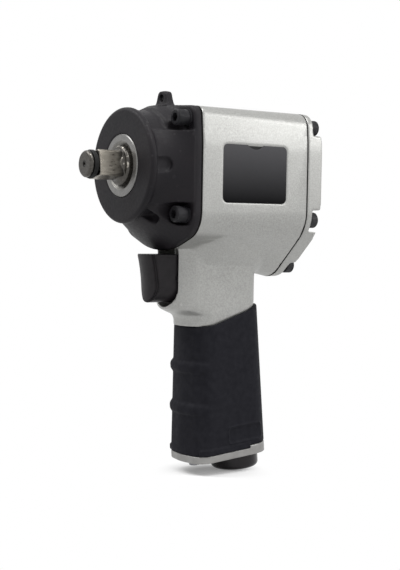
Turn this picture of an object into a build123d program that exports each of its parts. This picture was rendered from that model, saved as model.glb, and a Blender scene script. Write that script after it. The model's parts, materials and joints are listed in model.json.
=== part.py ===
from build123d import *
import os
from math import cos, radians, sin, tan

# Air impact wrench with a half inch square drive, laid out as it comes apart on a bench.
# +X leaves the nose along the spindle, +Y is the left side of the tool, +Z is up.
# The origin is on the spindle axis, at the shoulder where a socket seats. Millimetres.

os.makedirs("parts", exist_ok=True)

# Fits and small gaps
running_fit = 0.05
press_gap = 0.02
loose_gap = 0.3
free_gap = 0.6
edge_break = 0.4

# Square drive, forward of the socket seat
square_side = 12.7
square_corner_radius = 8.3
square_length = 13.4
square_turn = 9.0
ring_groove_length = 3.1
ring_groove_radius = 4.9
friction_ring_radius = 6.95
friction_ring_slit = 1.2
tip_radius = 6.5
tip_length = 1.95
tip_centre_radius = 0.8
tip_centre_depth = 1.6
collar_radius = 9.75
collar_proud = 1.75
collar_chamfer = 0.8

# Nose and hammer case
nose_ring_radius = 15.3
nose_ring_rim = 3.3
nose_ring_dish = 1.2
nose_ring_thick = 3.5
bushing_radius = 12.6
bushing_length = 12.0
nose_set_back = 0.3
nose_radius = 28.4
nose_disc = 3.2
nose_edge_radius = 2.0
nose_step = 0.9
barrel_spread = 1.5
shoulder_shift = 1.5
flare_radius = 8.0
case_length = 25.5
flange_thick = 4.3
flange_edge_radius = 1.2
case_wall = 3.5
notch_width = 6.6
notch_length = 8.4
notch_depth = 1.1
notch_angles = (0, -57, -123, 180)
seal_wire = 1.0

# Lower fairing of the case, from the round nose down to the flange
fairing_radius = 45.0
fairing_centre = 4.6
fairing_top = -19.0

# Side pads of the case, between the bolt pockets
pad_top = 16.8
pad_bottom = -18.2
pad_middle_x = -14.5
pad_front_inset = 0.8
pad_middle_reach = 28.7
pad_back_proud = 0.2
pad_middle_bow = 1.6
pad_back_bow = 0.3
flare_half_width = 20.0

# Hanging ear on the flange
ear_offset = 2.3
ear_base_width = 11.8
ear_top_width = 6.6
ear_top = 37.5
ear_thick = 4.3
ear_corner_radius = 2.6
ear_hole_radius = 1.7
ear_hole_height = 33.9

# Body outline: crowned top, flat sides, rounded keel that deepens to the rear
body_half_width = 33.0
crown_height = 30.9
crown_radius = 180.0
crown_half_width = 31.6
crown_corner = 28.6
side_break = 11.5
side_break_radius = 90.0
front_corner_radius = 5.0
front_shoulder_radius = 14.0
front_keel_angle = 20.8
front_keel_depth = 41.2
front_keel_radius = 43.0
rear_corner_radius = 8.0
rear_shoulder_radius = 20.5
rear_keel_angle = 43.1
rear_keel_depth = 55.0
rear_keel_radius = 13.7
body_length = 64.4
body_edge_radius = 0.5
gasket_thick = 0.4

# Rear cap
cap_thick = 9.2
cap_flange = 3.7
low_flange = 5.6
cap_edge_radius = 0.6
upper_pocket_side = 21.5
upper_pocket_floor = 17.9
mid_pocket_side = 22.0
mid_pocket_top = -20.0
mid_pocket_bottom = -31.0
low_pocket_radius = 5.2
low_pocket_rise = 1.4
pocket_corner_radius = 3.0

# Bolts
bolt_radius = 2.5
bolt_clearance = 0.25
bolt_head_radius = 3.9
bolt_head_height = 5.0
bolt_socket_across = 4.0
bolt_socket_depth = 2.6
bolt_head_chamfer = 0.5
bolt_pocket_radius = 5.4
front_bolt_spots = ((26.0, 22.9), (26.0, -23.3), (-26.0, -23.3), (-26.0, 22.9))
front_bolt_reach = 14.0
flat_washer_radius = 4.3
flat_washer_thick = 1.0
spring_washer_radius = 3.9
spring_washer_thick = 1.3
spring_washer_slit = 1.0
side_bolt_spots = ((27.0, 22.0), (27.8, -25.0), (-27.8, -25.0), (-27.0, 22.0))
rear_bolt_reach = 12.0
low_bolt_spots = ((6.6, -48.9), (-6.6, -48.9))
low_bolt_radius = 1.8
low_bolt_reach = 5.0

# Impact clutch, sized inwards from the bore of the case
cage_clearance = 1.1
cage_disc = 4.0
cage_back_disc = 6.0
cage_web = 2.6
cage_web_angle = 40.0
hammer_clearance = 0.7
hammer_wall = 6.1
hammer_length = 18.0
hammer_lug_height = 2.6
hammer_lug_width = 9.0
hammer_swing = 2.3
hammer_pin_radius = 2.6
hammer_pin_inset = 0.3
anvil_core_gap = 1.6
anvil_jaw_gap = 0.9
anvil_jaw_width = 7.0
anvil_pilot_radius = 6.0
anvil_pilot_length = 2.4

# Air motor
clutch_clearance = 0.7
clutch_depth = 15.6
motor_bore = 24.8
motor_slip = 0.1
motor_plate_front = 10.0
motor_plate_rear = 9.6
liner_wall = 4.1
liner_offset = 1.7
liner_port_radius = 1.8
liner_port_side = 10.0
supply_radius = 1.2
supply_side = 3.4
supply_x = -70.0
rotor_clearance = 0.3
rotor_end_gap = 0.3
vane_count = 6
vane_thick = 2.0
vane_slot_depth = 8.6
dowel_radius = 1.5
spline_teeth = 8
spline_root = 4.0
spline_tip = 4.8
spline_tooth = 1.5

# Ball bearings of the rotor
bearing_bore = 5.0
bearing_outer = 13.0
bearing_width = 8.0
ball_circle = 9.0
ball_radius = 2.3
ball_count = 7
inner_race_lip = 7.4
outer_race_lip = 10.6
ball_cage_inner = 8.4
ball_cage_outer = 9.7
ball_cage_width = 6.4

# Reversing valve, below the motor
reverse_wall = 5.0
reverse_spool_radius = 4.2
reverse_bore_front = -50.0
reverse_stem_radius = 3.0
reverse_port_depth = 2.4
knob_radius = 8.0
knob_thick = 4.0
knob_pocket_gap = 0.5
knob_floor = 4.3
knob_grip_width = 5.6
knob_grip_height = 2.8
knob_edge_radius = 0.8
knob_screw_radius = 2.5
knob_screw_head = 1.6
knob_screw_shank = 1.5
knob_screw_length = 9.0
detent_circle = 6.3
detent_ball_radius = 1.0
detent_ball_proud = 0.6
detent_groove_depth = 0.9
detent_groove_width = 2.4
detent_hole_depth = 6.0
detent_wire = 0.2
detent_coil_radius = 0.7
detent_turns = 6

# Trigger and its slot
slot_half_width = 9.2
slot_round_height = -60.5
trigger_side_gap = 0.6
trigger_top_gap = 4.0
trigger_back_gap = 1.1
trigger_top = -43.3
trigger_round_height = -58.8
trigger_back = -33.4
trigger_axis = -34.0
trigger_lip = -14.8
trigger_waist = -17.1
trigger_waist_height = -58.0
trigger_toe = -17.2
trigger_edge_radius = 0.7
trigger_travel = 6.0

# Throttle behind the trigger
throttle_height = -55.0
throttle_bore = 6.5
throttle_bore_end = -74.0
stem_radius = 2.25
stem_front = -27.0
stem_length = 23.0
stem_bushing_length = 17.0
stem_bushing_guide = 8.5
stem_bushing_room = 4.4
valve_stem_radius = 1.9
valve_head_radius = 5.3
valve_head_length = 3.0
seat_gap = 0.15
throttle_seal_thick = 0.8
trigger_pin_radius = 1.0
throttle_wire = 0.45
throttle_coil_radius = 3.9
throttle_turns = 5
stem_seal_wire = 0.7
passage_x = -54.0
passage_radius = 3.0

# Neck between body and grip
neck_half_width = 14.3
neck_front = -26.3
neck_back = -78.2
neck_back_radius = 9.0
neck_waist_front = -37.4
neck_waist_radius = 13.0
neck_front_radius = 14.2
neck_top = -32.0
neck_tail = 14.3
neck_fillet = 1.5
chin_heights = (-68.4, -70.8, -72.6, -74.0)
chin_steps = (0, 1.6, 5.6, 9.2)
waist_top = -76.2

# Grip, raked about the left to right axis
grip_rake = 5.1
grip_head_x = -65.2
grip_head_z = -57.94
grip_length = 85.0
grip_low_front = 33.7
grip_low_back = -14.0
grip_low_half_width = 16.0
grip_low_corner = 8.0
grip_high_front = 26.4
grip_high_back = -14.1
grip_high_half_width = 15.7
grip_high_corner = 11.0
grip_back_corner = 10.5
grip_front_bow = 2.6
grip_back_bow = 1.5
grip_bow_radius = 28.0
sleeve_wall = 1.8
sleeve_gap = 0.1
sleeve_front_height = -79.6
sleeve_bend_x = -45.5
sleeve_bend_radius = 30.0
sleeve_slope = 0.335
ridge_heights = (44.5, 23.5)
ridge_width = 7.4
ridge_proud = 1.5
ridge_side_proud = 0.7
ridge_fade = 18.0
ridge_round = 3.2
ridge_corner = 9.0
panel_size = (20.0, 7.6)
panel_spot = (3.4, 8.4)
panel_corner = 1.6
panel_depth = 0.5

# Handle end, air inlet and exhaust
end_plate_thick = 3.8
end_plate_edge = 0.5
plate_rim = 1.3
plate_rim_front = 0.5
end_screw_spot = 25.0
end_screw_radius = 2.0
end_screw_head_radius = 2.9
end_screw_head = 3.0
end_screw_length = 12.0
inlet_radius = 12.4
inlet_drop = 8.0
inlet_edge_radius = 2.2
inlet_thread_radius = 5.75
inlet_thread_depth = 10.4
inlet_spigot_radius = 8.0
inlet_spigot_length = 10.0
inlet_bore = 5.5
screen_step = 0.45
screen_ledge = 0.5
screen_thick = 0.6
screen_hole_radius = 0.45
screen_pitch = 1.5
inlet_seal_wire = 0.8
inlet_seal_height = 5.0
exhaust_back = 10.0
exhaust_front = 21.0
exhaust_half_width = 10.0
exhaust_head = 13.0
exhaust_corner_radius = 3.0
exhaust_side = 9.9
exhaust_side_width = 3.8
exhaust_side_length = 15.0
exhaust_side_x = -56.0
exhaust_overlap = 4.8
exhaust_side_bottom = -75.0
muffler_length = 18.0
vent_radius = 1.4
vent_pitch = 4.4
vent_rows = 2
vents_across = 4

# Label plates in the sides of the body
label_length = 39.1
label_height = 28.7
label_shift = 0.65
label_z = -3.1
label_corner_radius = 2.6
label_recess = 0.8
label_thick = 0.6

# Stations along the spindle
ring_face = -collar_proud
nose_face = ring_face - nose_set_back
nose_back = nose_face - nose_disc
flange_back = nose_face - case_length
flange_front = flange_back + flange_thick
body_front = flange_back - gasket_thick
body_back = body_front - body_length
cap_front = body_back - gasket_thick
cap_seat = cap_front - cap_flange
low_seat = cap_front - low_flange
bushing_back = ring_face - bushing_length
cage_front = bushing_back - free_gap
cage_disc_back = cage_front - cage_disc
hammer_front = cage_disc_back - loose_gap
hammer_back = hammer_front - hammer_length
cage_back_front = hammer_back - loose_gap
cage_back = cage_back_front - cage_back_disc
motor_front = body_front - clutch_depth
liner_front = motor_front - motor_plate_front
liner_back = body_back + motor_plate_rear
rotor_front = liner_front - rotor_end_gap
rotor_back = liner_back + rotor_end_gap
barrel_radius = nose_radius - nose_step
case_bore = barrel_radius - case_wall
pad_front_reach = nose_radius - pad_front_inset
pad_back_reach = body_half_width + pad_back_proud
cage_radius = case_bore - cage_clearance
cage_web_inner = cage_radius - cage_web
clutch_bore = cage_radius + clutch_clearance
hammer_radius = cage_web_inner - hammer_clearance
hammer_bore = hammer_radius - hammer_wall
hammer_lug_reach = hammer_bore - hammer_lug_height
hammer_pin_circle = hammer_radius - hammer_pin_inset
anvil_core_radius = hammer_lug_reach - anvil_core_gap
anvil_jaw_radius = hammer_bore - anvil_jaw_gap
motor_radius = motor_bore - motor_slip
liner_bore = motor_radius - liner_wall
rotor_radius = liner_bore - liner_offset - rotor_clearance
vane_slot_floor = rotor_radius - vane_slot_depth
dowel_circle = (liner_bore - liner_offset + motor_radius) / 2
reverse_height = -motor_bore - reverse_wall - reverse_spool_radius
exhaust_top = grip_length - exhaust_head
exhaust_side_top = exhaust_overlap - motor_bore
slot_back = trigger_back - trigger_travel - trigger_back_gap
slot_top = trigger_top + trigger_top_gap
trigger_half_width = slot_half_width - trigger_side_gap
label_x = (body_front + body_back) / 2 + label_shift
tip_back = square_length + ring_groove_length
tip_end = tip_back + tip_length
bolt_hole = bolt_radius + bolt_clearance
low_bolt_hole = low_bolt_radius + bolt_clearance
rear_bolt_length = cap_flange + gasket_thick + rear_bolt_reach - edge_break
low_bolt_length = low_flange + gasket_thick + low_bolt_reach - edge_break
front_head_seat = flange_front + flat_washer_thick + spring_washer_thick
reverse_spot = (0, reverse_height)
knob_seat = cap_front - knob_floor
stem_bushing_back = slot_back - stem_bushing_length
valve_face = stem_bushing_back - seat_gap
valve_back = valve_face - valve_head_length
stem_back = stem_front - stem_length
label_floor = body_half_width - label_recess
knob_front = knob_seat - loose_gap
knob_back = knob_front - knob_thick
knob_top = knob_back - knob_grip_height
trigger_bottom = trigger_round_height - trigger_half_width
pin_x = (trigger_back + stem_front) / 2

rake = radians(grip_rake)
grip_x = grip_head_x - grip_length * sin(rake)
grip_z = grip_head_z - grip_length * cos(rake)
grip_plane = Plane(
    origin=(grip_x, 0, grip_z),
    x_dir=(cos(rake), 0, -sin(rake)),
    z_dir=(sin(rake), 0, cos(rake)),
)


# Sketches shared by several pieces
def turned(*points):
    """Half profile of a turned piece, from (x, radius) points along the spindle."""
    with BuildSketch(Plane.XZ) as profile:
        with BuildLine():
            Polyline(*points, close=True)
        make_face()
    return profile.sketch


def round_corner(outline, axis, place, radius):
    """Round the corners of a sketch that lie at one place along an axis."""
    fillet(outline.vertices().filter_by_position(axis, place - 0.01, place + 0.01), radius)


def body_outline(x, keel_angle, keel_depth, keel_radius, shoulder_radius, corner_radius):
    """Cross-section of the body at one station along the spindle."""
    keel = radians(keel_angle)
    apex = -keel_depth - keel_radius * (1 / cos(keel) - 1)
    shoulder = apex + body_half_width * tan(keel)
    left = [(crown_half_width, crown_corner), (body_half_width, side_break), (body_half_width, shoulder)]
    right = [(-y, z) for y, z in reversed(left)]
    with BuildSketch(Plane.YZ.offset(x)) as outline:
        with BuildLine():
            Polyline((0, crown_height), *left, (0, apex), *right, close=True)
        make_face()
        round_corner(outline, Axis.Y, crown_height, crown_radius)
        round_corner(outline, Axis.Y, crown_corner, corner_radius)
        round_corner(outline, Axis.Y, side_break, side_break_radius)
        round_corner(outline, Axis.Y, shoulder, shoulder_radius)
        round_corner(outline, Axis.Y, apex, keel_radius)
    return outline.sketch


def front_outline(x):
    return body_outline(
        x, front_keel_angle, front_keel_depth, front_keel_radius, front_shoulder_radius, front_corner_radius
    )


def rear_outline(x):
    return body_outline(
        x, rear_keel_angle, rear_keel_depth, rear_keel_radius, rear_shoulder_radius, rear_corner_radius
    )


def grip_outline(plane, front, back, half_width, corner):
    """Cross-section of the grip: bowed front and back with rounded corners."""
    side_front = front - grip_front_bow
    side_back = back + grip_back_bow
    left = [(side_front, half_width), (side_back, half_width)]
    right = [(u, -v) for u, v in reversed(left)]
    with BuildSketch(plane) as outline:
        with BuildLine():
            Polyline((front, 0), *left, (back, 0), *right, close=True)
        make_face()
        round_corner(outline, Axis.X, front, grip_bow_radius)
        round_corner(outline, Axis.X, back, grip_bow_radius)
        round_corner(outline, Axis.X, side_front, corner)
        round_corner(outline, Axis.X, side_back, grip_back_corner)
    return outline.sketch


def grip_sections(inset):
    """Low and high sections of the grip, drawn in by an inset."""
    low = grip_outline(
        grip_plane,
        grip_low_front - inset,
        grip_low_back + inset,
        grip_low_half_width - inset,
        grip_low_corner - inset / 2,
    )
    high = grip_outline(
        grip_plane.offset(grip_length),
        grip_high_front - inset,
        grip_high_back + inset,
        grip_high_half_width - inset,
        grip_high_corner - inset / 2,
    )
    return [low, high]


def circles_at(x, spots, radius):
    """Round holes or pins along the spindle at (y, z) spots."""
    with BuildSketch(Plane.YZ.offset(x)) as sketch:
        with Locations(*spots):
            Circle(radius)
    return sketch.sketch


def coil_path(start, end, height, coil_radius, turns):
    """Open coil along the spindle direction at one height, in arcs of half a turn."""
    step = (end - start) / (2 * turns)
    with BuildLine() as path:
        for half in range(2 * turns):
            side = 1 if half % 2 == 0 else -1
            here = start + half * step
            first = Vector(here, 0, height + side * coil_radius)
            last = Vector(here + step, 0, height - side * coil_radius)
            middle = (first + last) / 2 + Vector(0, side * (last - first).length / 2, 0)
            ThreePointArc(first, middle, last)
    return path.wire()


def sleeve_edge(drop, far):
    """Side view of everything below the sleeve's top edge, lowered by a drop."""
    front_height = sleeve_front_height - drop
    back_height = front_height + (sleeve_bend_x - neck_back + far) * sleeve_slope
    with BuildSketch(Plane.XZ) as region:
        with BuildLine():
            Polyline(
                (neck_front + far, front_height),
                (sleeve_bend_x, front_height),
                (neck_back - far, back_height),
                (neck_back - far, grip_z - far),
                (neck_front + far, grip_z - far),
                close=True,
            )
        make_face()
        bend = region.vertices().filter_by_position(Axis.X, sleeve_bend_x - 0.01, sleeve_bend_x + 0.01)
        fillet(bend, sleeve_bend_radius)
    return region.sketch


# Anvil, with its square, collar, two jaws and rear pilot
with BuildPart() as anvil:
    with BuildSketch(Plane.YZ):
        Rectangle(square_side, square_side, rotation=square_turn)
        Circle(square_corner_radius, mode=Mode.INTERSECT)
    extrude(amount=square_length)
    revolve(
        turned(
            (square_length - edge_break, 0),
            (square_length - edge_break, ring_groove_radius),
            (tip_back, ring_groove_radius),
            (tip_back, tip_radius),
            (tip_end - 2 * edge_break, tip_radius),
            (tip_end, tip_radius - 2 * edge_break),
            (tip_end, tip_centre_radius),
            (tip_end - tip_centre_depth, 0),
        ),
        axis=Axis.X,
    )
    thrust_face = bushing_back - loose_gap
    revolve(
        turned(
            (0, 0),
            (0, collar_radius - collar_chamfer),
            (-collar_chamfer, collar_radius),
            (thrust_face, collar_radius),
            (thrust_face, anvil_jaw_radius),
            (cage_disc_back, anvil_jaw_radius),
            (cage_disc_back, anvil_core_radius),
            (cage_back_front + loose_gap, anvil_core_radius),
            (cage_back_front + loose_gap, anvil_pilot_radius),
            (cage_back_front - anvil_pilot_length + edge_break, anvil_pilot_radius),
            (cage_back_front - anvil_pilot_length, anvil_pilot_radius - edge_break),
            (cage_back_front - anvil_pilot_length, 0),
        ),
        axis=Axis.X,
    )
    with BuildSketch(Plane.YZ.offset(cage_disc_back)):
        Circle(anvil_jaw_radius)
        Rectangle(anvil_jaw_width, 2 * anvil_jaw_radius, mode=Mode.INTERSECT)
    extrude(amount=cage_back_front + loose_gap - cage_disc_back)
anvil.part.label = "anvil"
export_step(anvil.part, "parts/anvil.step")

# Split friction ring that holds a socket
with BuildPart() as friction_ring:
    revolve(
        turned(
            (square_length + edge_break, ring_groove_radius + running_fit),
            (square_length + edge_break, friction_ring_radius - edge_break),
            (square_length + 2 * edge_break, friction_ring_radius),
            (tip_back - 2 * edge_break, friction_ring_radius),
            (tip_back - edge_break, friction_ring_radius - edge_break),
            (tip_back - edge_break, ring_groove_radius + running_fit),
        ),
        axis=Axis.X,
    )
    with BuildSketch(Plane.YZ.offset(square_length)):
        with Locations((0, -friction_ring_radius)):
            Rectangle(friction_ring_slit, 2 * (friction_ring_radius - ring_groove_radius + edge_break))
    extrude(amount=ring_groove_length, mode=Mode.SUBTRACT)
friction_ring.part.label = "friction_ring"
export_step(friction_ring.part, "parts/friction_ring.step")

# Flanged bushing: its dished face is the bright ring round the spindle
seal_x = ring_face - nose_ring_thick - 2 * seal_wire
with BuildPart() as anvil_bushing:
    revolve(
        turned(
            (ring_face - nose_ring_dish, collar_radius + running_fit),
            (ring_face, nose_ring_radius - nose_ring_rim),
            (ring_face, nose_ring_radius - edge_break),
            (ring_face - edge_break, nose_ring_radius),
            (ring_face - nose_ring_thick, nose_ring_radius),
            (ring_face - nose_ring_thick, bushing_radius),
            (bushing_back, bushing_radius),
            (bushing_back, collar_radius + running_fit),
            (seal_x - seal_wire, collar_radius + running_fit),
            (seal_x - seal_wire, collar_radius + 2 * seal_wire),
            (seal_x + seal_wire, collar_radius + 2 * seal_wire),
            (seal_x + seal_wire, collar_radius + running_fit),
        ),
        axis=Axis.X,
    )
anvil_bushing.part.label = "anvil_bushing"
export_step(anvil_bushing.part, "parts/anvil_bushing.step")

# O-ring in the bushing's groove
with BuildPart() as anvil_seal:
    with BuildSketch(Plane.XZ):
        with Locations((seal_x, collar_radius + seal_wire + loose_gap / 2)):
            Circle(seal_wire - loose_gap / 2)
    revolve(axis=Axis.X)
anvil_seal.part.label = "anvil_seal"
export_step(anvil_seal.part, "parts/anvil_seal.step")

# Lower fairing of the hammer case, before it joins the barrel
with BuildPart() as case_fairing:
    with BuildSketch(Plane.YZ.offset(nose_back)):
        Circle(barrel_radius - nose_step)
    with BuildSketch(Plane.YZ.offset(flange_front)):
        with Locations((0, fairing_centre)):
            Circle(fairing_radius)
    loft(ruled=True)
    extrude(front_outline(flange_front), amount=case_length, mode=Mode.INTERSECT)
    with BuildSketch(Plane.YZ.offset(flange_front)):
        with Locations((0, fairing_top + fairing_radius)):
            Rectangle(3 * fairing_radius, 2 * fairing_radius)
    extrude(amount=case_length, mode=Mode.SUBTRACT)

# Top of the case, flared up to the flange
with BuildPart() as case_flare:
    flare_front = flange_front + flare_radius
    barrel_end = barrel_radius + barrel_spread
    with BuildSketch(Plane.XZ):
        with BuildLine():
            Polyline((flare_front, barrel_end), (flare_front, 0), (flange_front, 0))
            Line((flange_front, 0), (flange_front, barrel_end + flare_radius))
            RadiusArc((flange_front, barrel_end + flare_radius), (flare_front, barrel_end), -flare_radius)
        make_face()
    revolve(axis=Axis.X)
    extrude(front_outline(flange_front), amount=case_length, mode=Mode.INTERSECT)
    with BuildSketch(Plane.YZ.offset(flange_front)):
        with Locations((0, crown_height / 2)):
            Rectangle(2 * flare_half_width, crown_height)
    extrude(amount=case_length, mode=Mode.INTERSECT)


def pad_section(x, reach, bow):
    """One section of a side pad: flat ledges with a bowed outer face."""
    centre = (pad_top + pad_bottom) / 2
    with BuildSketch(Plane.YZ.offset(x)) as section:
        with BuildLine():
            Polyline((reach - bow, pad_top), (0, pad_top), (0, pad_bottom), (reach - bow, pad_bottom))
            ThreePointArc((reach - bow, pad_bottom), (reach, centre), (reach - bow, pad_top))
        make_face()
    return section.sketch


# Side pads, from the round nose out to the flat sides of the flange
with BuildPart() as case_pads:
    nose_bow = pad_front_reach - (pad_front_reach ** 2 - pad_bottom ** 2) ** 0.5
    loft(
        [
            pad_section(nose_back, pad_front_reach, nose_bow),
            pad_section(pad_middle_x, pad_middle_reach, pad_middle_bow + nose_bow / 3),
            pad_section(flange_front, pad_back_reach, pad_back_bow),
        ]
    )
    mirror(about=Plane.XZ)
    extrude(front_outline(flange_front), amount=case_length, mode=Mode.INTERSECT)


def pocket_outline(x):
    """Bolt pockets of the case, open to the sides."""
    with BuildSketch(Plane.YZ.offset(x)) as sketch:
        for y, z in front_bolt_spots:
            side = 1 if y > 0 else -1
            with Locations((y, z)):
                Circle(bolt_pocket_radius)
            with Locations((y + side * body_half_width / 2, z)):
                Rectangle(body_half_width, 2 * bolt_pocket_radius)
            if z > 0:
                with Locations((y + side * body_half_width / 2, z + bolt_pocket_radius)):
                    Rectangle(body_half_width + 2 * bolt_pocket_radius, 2 * bolt_pocket_radius)
    return sketch.sketch


# Hammer case
with BuildPart() as hammer_case:
    extrude(front_outline(flange_back), amount=flange_thick)
    fillet(hammer_case.faces().sort_by(Axis.X)[-1].edges(), flange_edge_radius)
    revolve(
        turned(
            (nose_back, 0),
            (nose_back, barrel_radius),
            (flange_front, barrel_radius + barrel_spread),
            (flange_front, 0),
        ),
        axis=Axis.X,
    )
    for side in (1, -1):
        with BuildSketch(Plane.YZ.offset(flange_front)):
            with Locations((side * crown_height, 0)):
                Rectangle(2 * crown_height, 4 * crown_height)
            with Locations((-side * shoulder_shift, 0)):
                Circle(barrel_radius, mode=Mode.SUBTRACT)
        extrude(amount=case_length, mode=Mode.SUBTRACT)
    add(case_flare.part)
    add(case_pads.part)
    add(case_fairing.part)
    with BuildSketch(Plane.XZ) as nose_profile:
        with BuildLine():
            Polyline(
                (nose_back, 0),
                (nose_back, nose_radius),
                (nose_face, nose_radius),
                (nose_face, 0),
                close=True,
            )
        make_face()
        outer = nose_profile.vertices().filter_by_position(Axis.Y, nose_radius - 0.01, nose_radius + 0.01)
        fillet(outer.sort_by(Axis.X)[-1], nose_edge_radius)
    revolve(axis=Axis.X)
    with BuildSketch(Plane.YZ.offset(flange_back)) as ear_profile:
        with BuildLine():
            Polyline(
                (ear_offset - ear_base_width / 2, crown_corner),
                (ear_offset - ear_top_width / 2, ear_top),
                (ear_offset + ear_top_width / 2, ear_top),
                (ear_offset + ear_base_width / 2, crown_corner),
                close=True,
            )
        make_face()
        round_corner(ear_profile, Axis.Y, ear_top, ear_corner_radius)
    extrude(amount=ear_thick)
    extrude(circles_at(flange_back, [(ear_offset, ear_hole_height)], ear_hole_radius), amount=ear_thick,
            mode=Mode.SUBTRACT)
    extrude(pocket_outline(flange_front), amount=nose_back - flange_front, mode=Mode.SUBTRACT)
    for notch_angle in notch_angles:
        with BuildSketch(Plane.XY.rotated((notch_angle - 90, 0, 0)).offset(barrel_radius - notch_depth)):
            with Locations((nose_back - notch_length / 2 + notch_width / 4, 0)):
                Rectangle(notch_length - notch_width / 2, notch_width)
            with Locations((nose_back - notch_length + notch_width / 2, 0)):
                Circle(notch_width / 2)
        extrude(amount=case_wall + 2 * notch_depth, mode=Mode.SUBTRACT)
    revolve(
        turned((flange_back, 0), (flange_back, case_bore), (bushing_back, case_bore), (bushing_back, 0)),
        axis=Axis.X,
        mode=Mode.SUBTRACT,
    )
    revolve(
        turned(
            (bushing_back, 0),
            (bushing_back, bushing_radius + press_gap),
            (ring_face - nose_ring_thick - press_gap, bushing_radius + press_gap),
            (ring_face - nose_ring_thick - press_gap, nose_ring_radius + press_gap),
            (ring_face, nose_ring_radius + press_gap),
            (ring_face, 0),
        ),
        axis=Axis.X,
        mode=Mode.SUBTRACT,
    )
    extrude(circles_at(flange_back, front_bolt_spots, bolt_hole), amount=flange_thick, mode=Mode.SUBTRACT)
hammer_case.part.label = "hammer_case"
export_step(hammer_case.part, "parts/hammer_case.step")

# Washers and bolts of the flange
with BuildPart() as front_flat_washers:
    extrude(circles_at(flange_front, front_bolt_spots, flat_washer_radius), amount=flat_washer_thick)
    extrude(circles_at(flange_front, front_bolt_spots, bolt_hole), amount=flat_washer_thick,
            mode=Mode.SUBTRACT)
front_flat_washers.part.label = "front_flat_washers"
export_step(front_flat_washers.part, "parts/front_flat_washers.step")

spring_seat = flange_front + flat_washer_thick
with BuildPart() as front_spring_washers:
    extrude(circles_at(spring_seat, front_bolt_spots, spring_washer_radius), amount=spring_washer_thick)
    extrude(circles_at(spring_seat, front_bolt_spots, bolt_hole), amount=spring_washer_thick,
            mode=Mode.SUBTRACT)
    with BuildSketch(Plane.YZ.offset(spring_seat)):
        with Locations(*[(y, z + spring_washer_radius) for y, z in front_bolt_spots]):
            Rectangle(spring_washer_slit, 2 * (spring_washer_radius - bolt_radius))
    extrude(amount=spring_washer_thick, mode=Mode.SUBTRACT)
front_spring_washers.part.label = "front_spring_washers"
export_step(front_spring_washers.part, "parts/front_spring_washers.step")


def bolt_hex(x, spots):
    """Hexagon sockets of the bolt heads."""
    with BuildSketch(Plane.YZ.offset(x)) as sketch:
        with Locations(*spots):
            RegularPolygon(bolt_socket_across / 2, 6, major_radius=False)
    return sketch.sketch


front_head_top = front_head_seat + bolt_head_height
with BuildPart() as front_bolts:
    extrude(circles_at(front_head_seat, front_bolt_spots, bolt_head_radius), amount=bolt_head_height)
    chamfer(front_bolts.faces().sort_by(Axis.X)[-4:].edges(), bolt_head_chamfer)
    extrude(circles_at(front_head_seat, front_bolt_spots, bolt_radius), amount=body_front - front_bolt_reach
            + edge_break - front_head_seat)
    extrude(bolt_hex(front_head_top, front_bolt_spots), amount=-bolt_socket_depth, mode=Mode.SUBTRACT)
front_bolts.part.label = "front_bolts"
export_step(front_bolts.part, "parts/front_bolts.step")

with BuildPart() as rear_bolts:
    for seat, spots, shank, length in (
        (cap_seat, side_bolt_spots, bolt_radius, rear_bolt_length),
        (low_seat, low_bolt_spots, low_bolt_radius, low_bolt_length),
    ):
        head_top = seat - bolt_head_height
        extrude(circles_at(seat, spots, bolt_head_radius), amount=-bolt_head_height)
        chamfer(rear_bolts.faces(Select.LAST).sort_by(Axis.X)[:len(spots)].edges(), bolt_head_chamfer)
        extrude(circles_at(seat, spots, shank), amount=length)
        extrude(bolt_hex(head_top, spots), amount=bolt_socket_depth, mode=Mode.SUBTRACT)
rear_bolts.part.label = "rear_bolts"
export_step(rear_bolts.part, "parts/rear_bolts.step")

# Gaskets, with the outline of the joint and the holes that pass through
with BuildPart() as front_gasket:
    extrude(front_outline(body_front), amount=gasket_thick)
    extrude(circles_at(body_front, [(0, 0)], case_bore), amount=gasket_thick, mode=Mode.SUBTRACT)
    extrude(circles_at(body_front, front_bolt_spots, bolt_hole), amount=gasket_thick, mode=Mode.SUBTRACT)
front_gasket.part.label = "front_gasket"
export_step(front_gasket.part, "parts/front_gasket.step")

detent_spot = (0, reverse_height + detent_circle)
detent_hole = detent_ball_radius + running_fit
with BuildPart() as rear_gasket:
    extrude(rear_outline(cap_front), amount=gasket_thick)
    extrude(circles_at(cap_front, [(0, 0)], bearing_outer), amount=gasket_thick, mode=Mode.SUBTRACT)
    extrude(circles_at(cap_front, side_bolt_spots, bolt_hole), amount=gasket_thick, mode=Mode.SUBTRACT)
    extrude(circles_at(cap_front, low_bolt_spots, low_bolt_hole), amount=gasket_thick, mode=Mode.SUBTRACT)
    extrude(circles_at(cap_front, [reverse_spot], reverse_stem_radius + loose_gap), amount=gasket_thick,
            mode=Mode.SUBTRACT)
    extrude(circles_at(cap_front, [detent_spot], detent_hole), amount=gasket_thick, mode=Mode.SUBTRACT)
rear_gasket.part.label = "rear_gasket"
export_step(rear_gasket.part, "parts/rear_gasket.step")

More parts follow.
